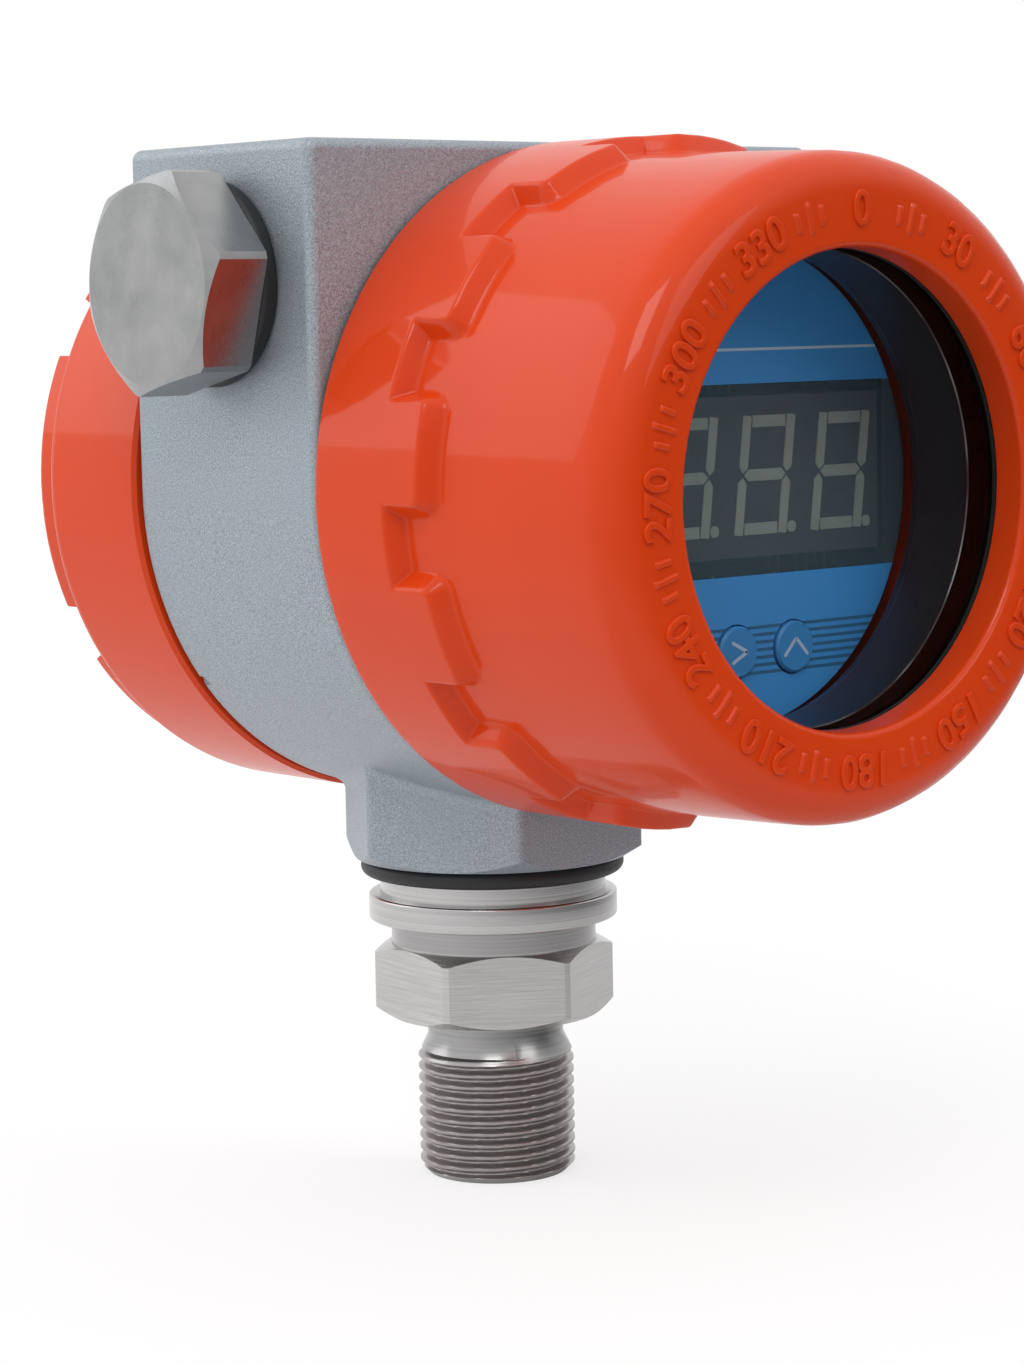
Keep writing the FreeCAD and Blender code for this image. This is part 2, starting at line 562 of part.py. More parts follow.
# ---------------------------------------------------------------- housing
def build_housing():
    """Cast body: drum with a square shoulder, partition, two collars, two entries and a hexagonal neck."""
    body = new_body("housing_body")
    shape = start_sketch(body, "XZ", "drum_section")
    top, side = ROUGH, ROUGH
    corners = [Vector(-side, 0, 0), Vector(-side, top, 0), Vector(side, top, 0), Vector(side, 0, 0)]
    for start, stop in zip(corners, corners[1:]):
        shape.addGeometry(Part.LineSegment(start, stop), False)
    bottom = Part.ArcOfCircle(Part.Circle(Vector(0, 0, 0), Vector(0, 0, 1), side), math.pi, 2 * math.pi)
    shape.addGeometry(bottom, False)
    for first, second in ((0, 1), (1, 2)):
        shape.addConstraint(Sketcher.Constraint("Coincident", first, 2, second, 1))
    shape.addConstraint(Sketcher.Constraint("Coincident", 0, 1, 3, 1))
    shape.addConstraint(Sketcher.Constraint("Coincident", 2, 2, 3, 2))
    shape.addConstraint(Sketcher.Constraint("Coincident", 3, 3, -1, 1))
    shape.addConstraint(Sketcher.Constraint("Vertical", 0))
    shape.addConstraint(Sketcher.Constraint("Vertical", 2))
    shape.addConstraint(Sketcher.Constraint("Horizontal", 1))
    shape.addConstraint(Sketcher.Constraint("PointOnObject", 3, 1, -1))
    bond = shape.addConstraint(Sketcher.Constraint("Radius", 3, side))
    fix(shape, "Constraints[%d]" % bond, "housing_radius")
    bond = shape.addConstraint(Sketcher.Constraint("DistanceY", -1, 1, 1, 1, top))
    fix(shape, "Constraints[%d]" % bond, "housing_rise")
    block = pad(body, "drum_block", shape, "2 * housing_half_depth", Midplane=True)

    depth, rise, radius = cell("housing_half_depth"), cell("housing_rise"), cell("housing_radius")

    def top_corner(edge):
        _, deep, _, centre = edge_box(edge)
        return deep > depth and abs(centre.z - rise) < TOLERANCE and abs(abs(centre.x) - radius) < TOLERANCE

    def end_rim(edge):
        _, deep, _, centre = edge_box(edge)
        return deep < TOLERANCE and abs(abs(centre.y) - depth) < TOLERANCE

    corners = dress(body, "Fillet", "top_corner_rounds", block, top_corner, "housing_corner_round")
    dress(body, "Fillet", "end_rim_rounds", corners, end_rim, "housing_rim_round")

    boss = outline(body, "XY", "boss_section", hexagon("boss_across"), "boss_base_z - drum_axis_z")
    neck = pad(body, "neck_boss", boss, "drum_axis_z - boss_base_z - boss_embed")
    base = cell("boss_base_z") - cell("drum_axis_z")
    flat = cell("boss_across") / 2

    def boss_edge(edge):
        wide, deep, tall, centre = edge_box(edge)
        upright = wide < TOLERANCE and deep < TOLERANCE and tall > TOLERANCE
        return upright and centre.z < base + flat and math.hypot(centre.x, centre.y) > flat + TOLERANCE

    def boss_root(edge):
        reach = [math.hypot(point.X, point.Z) for point in edge.Vertexes]
        inside_rims = all(abs(point.Y) < depth - TOLERANCE for point in edge.Vertexes)
        below = edge.BoundBox.ZMax < -boss_embed
        return below and inside_rims and all(abs(r - radius) < TOLERANCE for r in reach)

    boss_embed = cell("boss_embed")
    edges = dress(body, "Fillet", "boss_edge_rounds", neck, boss_edge, "boss_corner_round")
    dress(body, "Fillet", "boss_root_rounds", edges, boss_root, "boss_root_round")
    low, reach = "boss_base_z - drum_axis_z", "boss_across / 2 + boss_chamfer_reach"
    turn_off(body, "boss_chamfer", [
        ("boss_across / 2", low), (reach, low), (reach, low + " + boss_chamfer_height")])

    for side, start in (("front", "-housing_half_depth - spigot_length"), ("rear", "housing_half_depth")):
        ring = rounds(body, "XZ", side + "_collar_section", [("cover_thread_radius - running_gap",)],
                      "-(%s)" % start)
        pad(body, side + "_collar", ring, "spigot_length", Reversed=True)

    thread, bottom = "cover_thread_radius - running_gap", "cover_thread_radius - running_gap - groove_depth"
    for side, sign in (("front", "-"), ("rear", "")):
        near = "%s(housing_half_depth + groove_start)" % sign
        far = "%s(housing_half_depth + groove_start + groove_width)" % sign
        end = "%s(housing_half_depth + spigot_length)" % sign
        inset = "%s(housing_half_depth + spigot_length - spigot_mouth_chamfer)" % sign
        cut = start_sketch(body, "YZ", side + "_collar_cuts")
        add_polygon(cut, [(near, thread + " + overrun"), (near, bottom), (far, bottom), (far, thread + " + overrun")])
        add_polygon(cut, [(inset, thread), (end, thread + " - spigot_mouth_chamfer"), (end, thread)])
        feature(body, "Groove", side + "_collar_grooves", cut, ReferenceAxis=(cut, ["H_Axis"]), Angle=360)

    rooms = start_sketch(body, "YZ", "compartments")
    front, back = "-housing_half_depth - spigot_length", "housing_half_depth + spigot_length"
    wall_front, wall_back = "-partition_front", "-partition_front + partition_thickness"
    add_polygon(rooms, [(front + " - overrun", "0"), (wall_front, "0"), (wall_front, "cavity_radius"),
                        (front + " - overrun", "cavity_radius")])
    add_polygon(rooms, [(wall_back, "0"), (back + " + overrun", "0"), (back + " + overrun", "cavity_radius"),
                        (wall_back, "cavity_radius")])
    feature(body, "Groove", "compartment_bores", rooms, ReferenceAxis=(rooms, ["H_Axis"]), Angle=360)

    entry = rounds(body, "YZ", "entry_section", [("entry_radius", "0", "entry_rise")], "-housing_radius - overrun")
    pocket(body, "plug_entry", entry, "entry_depth + overrun", Reversed=True)
    entry = rounds(body, "YZ", "gland_section", [("entry_radius", "0", "entry_rise")], "housing_radius + overrun")
    pocket(body, "gland_entry", entry, "entry_depth + overrun")

    turn_off(body, "neck_bore", [
        ("0", low + " - overrun"), ("neck_bore_radius", low + " - overrun"),
        ("neck_bore_radius", low + " + neck_bore_depth"), ("neck_passage_radius", low + " + neck_bore_depth"),
        ("neck_passage_radius", "-cavity_radius + neck_passage_reach"),
        ("0", "-cavity_radius + neck_passage_reach")])

    feed = rounds(body, "XZ", "feed_section", [("feed_radius", "0", "-feed_drop")], "partition_front + overrun")
    pocket(body, "feed_hole", feed, "partition_thickness + 2 * overrun")
    posts = rounds(body, "XZ", "post_holes_section", [("post_thread_radius", x, y) for x, y in POSTS],
                   "partition_front + overrun")
    pocket(body, "post_holes", posts, "post_stud_length + screw_end_gap + overrun")
    fixings = rounds(body, "XZ", "fixing_holes_section", [
        ("terminal_thread_radius", "-block_screw_x", "-block_screw_drop"),
        ("terminal_thread_radius", "block_screw_x", "-block_screw_drop"),
        ("terminal_thread_radius", "-inner_earth_x", "-inner_earth_drop")],
        "partition_front - partition_thickness - overrun")
    pocket(body, "fixing_holes", fixings, "fixing_hole_depth + overrun", Reversed=True)

    pad_ring = rounds(body, "YZ", "earth_pad_section", [("earth_pad_radius", "earth_y", "earth_rise")],
                      "housing_radius - overrun")
    pad(body, "earth_pad", pad_ring, "earth_pad_height + overrun")
    earth = rounds(body, "YZ", "earth_hole_section", [("earth_thread_radius", "earth_y", "earth_rise")],
                   "housing_radius + earth_pad_height + overrun")
    pocket(body, "earth_hole", earth, "earth_hole_depth + overrun")

    notch = rounds(body, "XZ", "pry_notch_section", [(
        "pry_notch_radius", "-housing_radius * cos(pry_notch_angle * 1deg)",
        "-housing_radius * sin(pry_notch_angle * 1deg)")], "-housing_half_depth - overrun")
    pocket(body, "pry_notch", notch, "3 * overrun", Reversed=True)
    place(body, UPRIGHT, z="drum_axis_z")


POSTS = [("-post_side_x", "-post_side_drop"), ("post_side_x", "-post_side_drop"), ("0", "post_top_rise")]


# ---------------------------------------------------------------- covers
def build_window_cover():
    """Orange cover with a stepped grip band, a long barrel and a round window."""
    body = new_body("front_cover")
    tip = "band_length + grip_length"
    end = "spigot_length + cover_thread_run"
    shell = revolve(body, "cover_shell", [
        ("cover_thread_radius", "cover_gap"),
        ("cover_band_radius - cover_rim_chamfer", "cover_gap"),
        ("cover_band_radius", "cover_gap + cover_rim_chamfer"),
        ("cover_band_radius", "band_length"),
        ("barrel_back_radius", "band_length"),
        ("barrel_back_radius", tip),
        ("barrel_front_radius", "window_cover_length"),
        ("window_radius", "window_cover_length"),
        ("window_radius", "window_cover_length - window_lip"),
        ("glass_seat_radius", "window_cover_length - window_lip"),
        ("glass_seat_radius", "glass_seat_end"),
        ("cover_cavity_radius", "glass_seat_end - cover_cavity_radius + glass_seat_radius"),
        ("cover_cavity_radius", end),
        ("cover_thread_radius", end)])
    length = cell("window_cover_length")
    rim = dress(body, "Fillet", "front_round", shell,
                ring_edge(cell("barrel_front_radius"), length), "window_cover_round")
    dress(body, "Fillet", "window_round", rim, ring_edge(cell("window_radius"), length), "window_edge_round")
    lug = start_sketch(body, "XY", "grip_lug_section", "band_length - overrun")
    add_sector(lug, "barrel_back_radius - overrun", "cover_band_radius", "grip_half_angle")
    one = pad(body, "grip_lug", lug, "grip_length + overrun")
    polar(body, "grip_lugs", one, "grip_count", lug)
    on_front_face(body, about_own_axis("window_cover_clocking"))


def build_blind_cover():
    """Orange rear cover with a ring of raised lugs on its end."""
    body = new_body("rear_cover")
    end = "spigot_length + cover_thread_run"
    shell = revolve(body, "cover_shell", [
        ("cover_thread_radius", "cover_gap"),
        ("blind_cover_radius - cover_rim_chamfer", "cover_gap"),
        ("blind_cover_radius", "cover_gap + cover_rim_chamfer"),
        ("blind_cover_radius", "blind_cover_length"),
        ("0", "blind_cover_length"),
        ("0", "blind_cover_length - blind_cover_floor"),
        ("cover_cavity_radius", "blind_cover_length - blind_cover_floor"),
        ("cover_cavity_radius", end),
        ("cover_thread_radius", end)])
    dress(body, "Fillet", "end_round", shell,
          ring_edge(cell("blind_cover_radius"), cell("blind_cover_length")), "blind_cover_round")
    lug = start_sketch(body, "XY", "spanner_lug_section", "blind_cover_length - 2 * overrun")
    add_sector(lug, "spanner_lug_inner", "spanner_lug_outer", "spanner_lug_half_angle")
    one = pad(body, "spanner_lug", lug, "spanner_lug_height + 2 * overrun")
    lugs = polar(body, "spanner_lugs", one, "spanner_lug_count", lug)
    top = cell("blind_cover_length") + cell("spanner_lug_height")

    def lug_top(edge):
        _, _, tall, centre = edge_box(edge)
        return tall < TOLERANCE and abs(centre.z - top) < TOLERANCE

    dress(body, "Fillet", "lug_rounds", lugs, lug_top, "spanner_lug_round")
    on_rear_face(body)


def build_ring(label, section, inner, height, put):
    """O-ring: section diameter, inner radius and height of its middle."""
    body = new_body(label)
    sketch = rounds(body, "XZ", "section", [("(%s) / 2" % section, "(%s) + (%s) / 2" % (inner, section), height)])
    feature(body, "Revolution", "ring", sketch, ReferenceAxis=(sketch, ["V_Axis"]), Angle=360)
    put(body)


def build_tube(label, inner, outer, low, high, put):
    """Plain ring or sleeve."""
    body = new_body(label)
    revolve(body, "ring", [(inner, low), (outer, low), (outer, high), (inner, high)])
    put(body)
    return body


def build_window():
    """Glass, its gasket and the slotted ring that holds them in the cover."""
    seat = "window_cover_length - window_lip"
    build_tube("window_gasket", "window_radius", "glass_radius", seat + " - gasket_thickness", seat, on_front_face)
    glass = new_body("window_glass")
    high = seat + " - gasket_thickness"
    revolve(glass, "disc", [("0", high), ("glass_radius", high), ("glass_radius", high + " - glass_thickness"),
                            ("0", high + " - glass_thickness")])
    on_front_face(glass)
    ring = new_body("glass_retaining_ring")
    top = high + " - glass_thickness"
    low = top + " - retainer_length"
    outer = "glass_seat_radius - seat_gap"
    front_bore, back_bore = outer + " - retainer_wall_front", outer + " - retainer_wall_back"
    shape = revolve(ring, "ring", [(outer, top), (front_bore, top), (back_bore, low), (outer, low)])
    edges = [ring_edge(cell(front_bore), cell(top)), ring_edge(cell(back_bore), cell(low))]
    dress(ring, "Fillet", "bore_edge_rounds", shape, lambda edge: any(test(edge) for test in edges),
          "retainer_edge_round")
    slots = start_sketch(ring, "XY", "slots_section", low)
    add_polygon(slots, rectangle("retainer_slot_width", "2 * glass_seat_radius + overrun"))
    pocket(ring, "slots", slots, "retainer_slot_depth", Reversed=True)
    on_front_face(ring)


# ---------------------------------------------------------------- display
BOARD_FRONT = "faceplate_front - faceplate_thickness - led_to_plate - led_depth"
PLATE_BACK = "faceplate_front - faceplate_thickness"
KEYS = [("set_key", "-key_pitch"), ("shift_key", "0"), ("up_key", "key_pitch")]


def build_display():
    """Printed plate, smoked window, LED module, keys and carrier on the display board."""
    plate = new_body("faceplate")
    face = start_sketch(plate, "XY", "plate_section", PLATE_BACK)
    add_circle(face, "faceplate_radius")
    add_polygon(face, rectangle("led_window_width", "led_window_height", "0", "led_window_rise"))
    for _, x in KEYS:
        add_circle(face, "key_radius + key_side_play", x, "-key_drop")
    pad(plate, "plate", face, "faceplate_thickness")
    on_front_face(plate)

    window = new_body("led_window")
    face = outline(window, "XY", "window_section", rectangle(
        "led_window_width - 2 * seat_gap", "led_window_height - 2 * seat_gap", "0", "led_window_rise"), PLATE_BACK)
    pad(window, "window", face, "faceplate_thickness")
    on_front_face(window)

    module = new_body("led_module")
    face = outline(module, "XY", "module_section", rectangle("led_width", "led_height", "0", "led_rise"),
                   BOARD_FRONT)
    pad(module, "module", face, "led_depth")
    on_front_face(module)

    carrier = new_body("display_carrier")
    revolve(carrier, "ring", [("faceplate_radius", BOARD_FRONT), ("faceplate_radius", PLATE_BACK),
                              ("carrier_bore", PLATE_BACK), ("carrier_bore", BOARD_FRONT)])
    on_front_face(carrier)

    for label, x in KEYS:
        build_key(label, x)

    switches = new_body("key_switches")
    base = start_sketch(switches, "XY", "switch_section", BOARD_FRONT)
    for _, x in KEYS:
        add_polygon(base, rectangle("switch_size", "switch_size", x, "-key_drop"))
    pad(switches, "switch", base, "switch_height")
    tops = rounds(switches, "XY", "plunger_section", [("switch_plunger_radius", x, "-key_drop") for _, x in KEYS],
                  BOARD_FRONT + " + switch_height")
    pad(switches, "plunger", tops, "switch_plunger_height")
    on_front_face(switches)

    build_board("display_pcb", "display_board_radius", BOARD_FRONT + " - board_thickness")
    build_board("main_pcb", "main_board_radius", "main_board_height")
    build_posts()

    converter = new_body("converter_module")
    deck = "main_board_height + board_thickness"
    base = outline(converter, "XY", "converter_section", rectangle(
        "converter_width", "converter_length", "0", "converter_rise"), deck)
    pad(converter, "potted_block", base, "converter_height")
    on_front_face(converter)

    header = new_body("board_header")
    base = outline(header, "XY", "header_section", rectangle(
        "header_width", "header_thickness", "0", "-header_drop"), deck)
    pad(header, "header", base, BOARD_FRONT + " - board_thickness - (%s)" % deck)
    on_front_face(header)


def build_key(label, x):
    """Round cap with a stem to its switch and a collar behind the plate."""
    key = new_body(label)
    gap = "key_side_play"
    collar_top = PLATE_BACK + " - " + gap
    collar_low = collar_top + " - key_flange_thickness"
    stem_low = BOARD_FRONT + " + switch_height + switch_plunger_height + key_travel + key_free_play"
    top = "faceplate_front + key_proud"
    revolve(key, "cap", [
        ("0", stem_low), ("key_stem_radius", stem_low), ("key_stem_radius", collar_low),
        ("key_flange_radius", collar_low), ("key_flange_radius", collar_top), ("key_radius", collar_top),
        ("key_radius", top + " - key_edge"), ("key_radius - key_edge", top), ("0", top)])
    place(key, FORWARD, x=x, y="-housing_half_depth", z="drum_axis_z - key_drop")


def build_board(label, radius, low):
    board = new_body(label)
    face = start_sketch(board, "XY", "board_section", low)
    add_circle(face, radius)
    for x, y in POSTS:
        add_circle(face, "board_hole_radius", x, y)
    pad(board, "board", face, "board_thickness")
    on_front_face(board)


def build_posts():
    """Two storeys of hexagonal posts and the screws that hold the display on them."""
    for label, low, high, stud, depth in (
            ("lower_standoffs", "-(housing_half_depth - partition_front)", "main_board_height",
             "post_stud_length", "post_stud_length"),
            ("upper_standoffs", "main_board_height + board_thickness", BOARD_FRONT + " - board_thickness",
             "post_stud_length + board_thickness", "screw_length - board_thickness")):
        posts = new_body(label)
        section = start_sketch(posts, "XY", "post_section", low)
        for x, y in POSTS:
            add_polygon(section, hexagon("post_across", x, y))
        pad(posts, "post", section, "(%s) - (%s)" % (high, low))
        section = rounds(posts, "XY", "thread_section", [("post_thread_radius", x, y) for x, y in POSTS], high)
        pocket(posts, "thread", section, depth + " + post_thread_spare")
        section = rounds(posts, "XY", "stud_section",
                         [("post_thread_radius - seat_gap", x, y) for x, y in POSTS], low)
        pad(posts, "stud", section, stud, Reversed=True)
        on_front_face(posts)

    screws = new_body("display_screws")
    top = BOARD_FRONT
    heads = rounds(screws, "XY", "head_section", [("screw_head_radius", x, y) for x, y in POSTS], top)
    pad(screws, "head", heads, "screw_head_height")
    shanks = rounds(screws, "XY", "shank_section",
                    [("post_thread_radius - seat_gap", x, y) for x, y in POSTS], top)
    pad(screws, "shank", shanks, "screw_length", Reversed=True)
    slots = start_sketch(screws, "XY", "slot_section", top + " + screw_head_height")
    for x, y in POSTS:
        add_polygon(slots, rectangle("2 * screw_head_radius + overrun", "screw_slot_width", x, y))
    pocket(screws, "slot", slots, "screw_slot_depth")
    on_front_face(screws)


# ---------------------------------------------------------------- feed-through and terminals
def build_feed_through():
    bush = new_body("feedthrough_bush")
    low, floor = "-(housing_half_depth - partition_front)", "partition_thickness + feed_tail"
    revolve(bush, "bush", [
        ("0", low + " - (%s)" % floor), ("feed_radius - seat_gap", low + " - (%s)" % floor),
        ("feed_radius - seat_gap", low), ("feed_flange_radius", low),
        ("feed_flange_radius", low + " + feed_flange_thickness"), ("0", low + " + feed_flange_thickness")])
    place(bush, FORWARD, y="-housing_half_depth", z="drum_axis_z - feed_drop")

    ribbon = new_body("signal_ribbon")
    start = low + " + feed_flange_thickness"
    section = outline(ribbon, "XY", "ribbon_section", rectangle("ribbon_width", "ribbon_thickness"), start)
    pad(ribbon, "ribbon", section, "main_board_height - (%s)" % start)
    place(ribbon, FORWARD, y="-housing_half_depth", z="drum_axis_z - feed_drop")


def build_terminals():
    """Terminal block with barrier ribs, clamp plates and screws, behind the partition."""
    block = new_body("terminal_block")
    base = outline(block, "XY", "base_section", rectangle("block_width", "block_height"))
    pad(block, "base", base, "block_base")
    step = outline(block, "XY", "step_section", rectangle(
        "block_width", "block_height / 2 + block_step", "0", "(block_height / 2 - block_step) / 2"), "block_base")
    pad(block, "step", step, "block_top - block_base")
    ribs = start_sketch(block, "XY", "rib_section", "block_top")
    for offset in ("-1.5", "-0.5", "0.5", "1.5"):
        add_polygon(ribs, rectangle("rib_thickness", "clamp_size + rib_excess", offset + " * terminal_pitch",
                                    "terminal_rise"))
    pad(block, "rib", ribs, "rib_height")
    wells = rounds(block, "XY", "screw_well_section", [
        ("terminal_thread_radius", x + " * terminal_pitch", "terminal_rise") for x in ("-1", "0", "1")],
        "block_top")
    pocket(block, "screw_well", wells, "terminal_screw_length")
    holes = rounds(block, "XY", "fixing_section", [
        ("terminal_thread_radius + terminal_hole_play", x + "block_screw_x", "-block_screw_drop") for x in ("-", "")],
        "block_base")
    pocket(block, "fixing_hole", holes, "block_base")
    on_partition(block)

    clamps = new_body("terminal_clamps")
    section = start_sketch(clamps, "XY", "clamp_section", "block_top")
    for x in ("-1", "0", "1"):
        add_polygon(section, rectangle("clamp_size", "clamp_size", x + " * terminal_pitch", "terminal_rise"))
        add_circle(section, "terminal_thread_radius + terminal_hole_play", x + " * terminal_pitch", "terminal_rise")
    pad(clamps, "clamp", section, "clamp_thickness")
    on_partition(clamps)

    spots = [(x + " * terminal_pitch", "terminal_rise") for x in ("-1", "0", "1")]
    build_screws("terminal_screws", spots, "block_top + clamp_thickness", "terminal_screw_length - clamp_thickness - screw_end_gap")
    spots = [(x + "block_screw_x", "-block_screw_drop") for x in ("-", "")]
    build_screws("block_screws", spots, "block_base", "block_base + fixing_hole_depth - screw_end_gap")
    build_screws("inner_earth_screw", [("inner_earth_x", "-inner_earth_drop")], "0",
                 "fixing_hole_depth - screw_end_gap")


def build_screws(label, spots, height, length):
    """Group of equal M4 pan-head screws at the given spots on the partition's rear side."""
    screws = new_body(label)
    heads = rounds(screws, "XY", "head_section", [("terminal_head_radius", x, y) for x, y in spots], height)
    pad(screws, "head", heads, "terminal_head_height")
    shanks = rounds(screws, "XY", "shank_section",
                    [("terminal_thread_radius - seat_gap", x, y) for x, y in spots], height)
    pad(screws, "shank", shanks, length, Reversed=True)
    slots = start_sketch(screws, "XY", "slot_section", "(%s) + terminal_head_height" % height)
    for x, y in spots:
        add_polygon(slots, rectangle("2 * terminal_head_radius + overrun", "screw_slot_width", x, y))
    pocket(screws, "slot", slots, "screw_slot_depth")
    on_partition(screws)


# ---------------------------------------------------------------- cable entries
def chamfer_hexagon(body, name, face, corner, low, high, both=False):
    """Turn the corners of a hexagon down to a radius and break its end faces at 30 degrees."""
    drop = "(%s - (%s)) / sqrt(3)" % (corner, face)
    beyond = "(%s) + 2 * overrun" % corner
    turn_off(body, name + "_top", [(face, high), (corner, "(%s) - %s" % (high, drop)),
                                   (corner, "(%s) - (%s) - overrun" % (high, drop)),
                                   (beyond, "(%s) - (%s) - overrun" % (high, drop)), (beyond, high)])
    turn_off(body, name + "_side", [(corner, low), (beyond, low), (beyond, high), (corner, high)])
    if both:
        turn_off(body, name + "_base", [(face, low), (corner, "(%s) + %s" % (low, drop)),
                                        (beyond, "(%s) + %s" % (low, drop)), (beyond, low)])


def on_left_side(item, turn=UPRIGHT):
    place(item, LEFTWARD.multiply(turn), x="-housing_radius", z="drum_axis_z + entry_rise")


def on_right_side(item):
    place(item, RIGHTWARD, x="housing_radius", z="drum_axis_z + entry_rise")


def build_plug():
    plug = new_body("entry_plug")
    low = "plug_washer_thickness"
    high = low + " + plug_head_height"
    head = outline(plug, "XY", "head_section", hexagon("plug_across"), low)
    pad(plug, "head", head, "plug_head_height")
    chamfer_hexagon(plug, "head_chamfer", "plug_face_radius", "plug_corner_radius", low, high)
    shank = rounds(plug, "XY", "shank_section", [("entry_radius - seat_gap",)], low)
    pad(plug, "shank", shank, low + " + plug_shank_length", Reversed=True)
    on_left_side(plug, about_own_axis("plug_clocking"))

    washer = build_tube("plug_washer", "entry_radius + seat_gap", "plug_washer_radius", "0",
                        "plug_washer_thickness", on_left_side)
    radius, thick = cell("plug_washer_radius"), cell("plug_washer_thickness")

    def outer_edge(edge):
        return ring_edge(radius, 0)(edge) or ring_edge(radius, thick)(edge)

    dress(washer, "Fillet", "edge_rounds", washer.Tip, outer_edge, "plug_washer_round")


def build_gland():
    """Cable gland: body, sealing ring, rubber bush and domed nut."""
    build_tube("gland_o_ring", "entry_radius + seat_gap", "gland_ring_radius", "0", "gland_ring_thickness",
               on_right_side)
    body = new_body("gland_body")
    low = "gland_ring_thickness"
    high = low + " + gland_hex_height"
    hexa = outline(body, "XY", "hexagon_section", hexagon("gland_across"), low)
    pad(body, "hexagon", hexa, "gland_hex_height")
    chamfer_hexagon(body, "hexagon_chamfer", "gland_face_radius", "gland_corner_radius", low, high)
    shank = rounds(body, "XY", "shank_section", [("entry_radius - seat_gap",)], low)
    pad(body, "shank", shank, low + " + plug_shank_length", Reversed=True)
    neck = rounds(body, "XY", "neck_section", [("gland_neck_radius",)], high)
    pad(body, "neck", neck, "gland_neck_length")
    mouth = high + " + gland_neck_length"
    floor = mouth + " - gland_seal_length + gland_seal_step"
    turn_off(body, "bore", [
        ("0", "-plug_shank_length - overrun"), ("gland_bore_radius", "-plug_shank_length - overrun"),
        ("gland_bore_radius", floor), ("gland_seal_radius + seat_gap", floor),
        ("gland_seal_radius + seat_gap", mouth + " + overrun"), ("0", mouth + " + overrun")])
    on_right_side(body)

    build_tube("gland_seal", "gland_seal_bore", "gland_seal_radius", floor, mouth + " + gland_seal_step",
               on_right_side)

    nut = new_body("gland_nut")
    base = high + " + gland_nut_lift"
    shoulder = base + " + gland_nut_hex"
    top = shoulder + " + gland_nut_dome"
    hexa = outline(nut, "XY", "hexagon_section", hexagon("gland_across"), base)
    pad(nut, "hexagon", hexa, "gland_nut_hex")
    chamfer_hexagon(nut, "hexagon_chamfer", "gland_face_radius", "gland_corner_radius", base, shoulder,
                    both=True)
    side = "gland_across / 2 - gland_dome_inset"
    revolve(nut, "dome", [("0", shoulder + " - overrun"), (side, shoulder + " - overrun"), (side, shoulder),
                          (side + " - gland_dome_taper", shoulder + " + gland_dome_knee"),
                          ("gland_mouth_radius + gland_dome_rim", top), ("0", top)])
    inner = "gland_neck_radius + running_gap"
    floor = top + " - gland_nut_wall"
    turn_off(nut, "thread", [
        ("0", base + " - overrun"), (inner, base + " - overrun"), (inner, mouth + " + gland_thread_spare"),
        ("gland_seal_radius + gland_dome_inset", floor), ("gland_mouth_radius", floor), ("gland_mouth_radius", top + " + overrun"),
        ("0", top + " + overrun")])
    on_right_side(nut)


# ---------------------------------------------------------------- outer earth terminal
def build_earth_terminal():
    def on_pad(item):
        place(item, RIGHTWARD, x="housing_radius + earth_pad_height", y="earth_y", z="drum_axis_z + earth_rise")

    build_tube("earth_washer", "earth_thread_radius + earth_hole_play", "earth_washer_radius", "0",
               "earth_washer_thickness", on_pad)
    screw = new_body("earth_screw")
    low = "earth_washer_thickness"
    top = low + " + earth_head_height"
    revolve(screw, "screw", [
        ("0", "-earth_hole_depth + earth_end_gap"), ("earth_thread_radius - seat_gap", "-earth_hole_depth + earth_end_gap"),
        ("earth_thread_radius - seat_gap", low), ("earth_head_radius", low),
        ("earth_head_radius", top + " - earth_head_rise"), ("earth_head_radius - earth_head_inset", top), ("0", top)])
    slot = start_sketch(screw, "XY", "slot_section", top)
    add_polygon(slot, rectangle("2 * earth_head_radius + overrun", "earth_slot_width"))
    cross = start_sketch(screw, "XY", "cross_section", top)
    add_polygon(cross, rectangle("earth_slot_width", "earth_head_radius"))
    pocket(screw, "slot", slot, "earth_slot_depth")
    pocket(screw, "cross", cross, "earth_cross_depth")
    on_pad(screw)


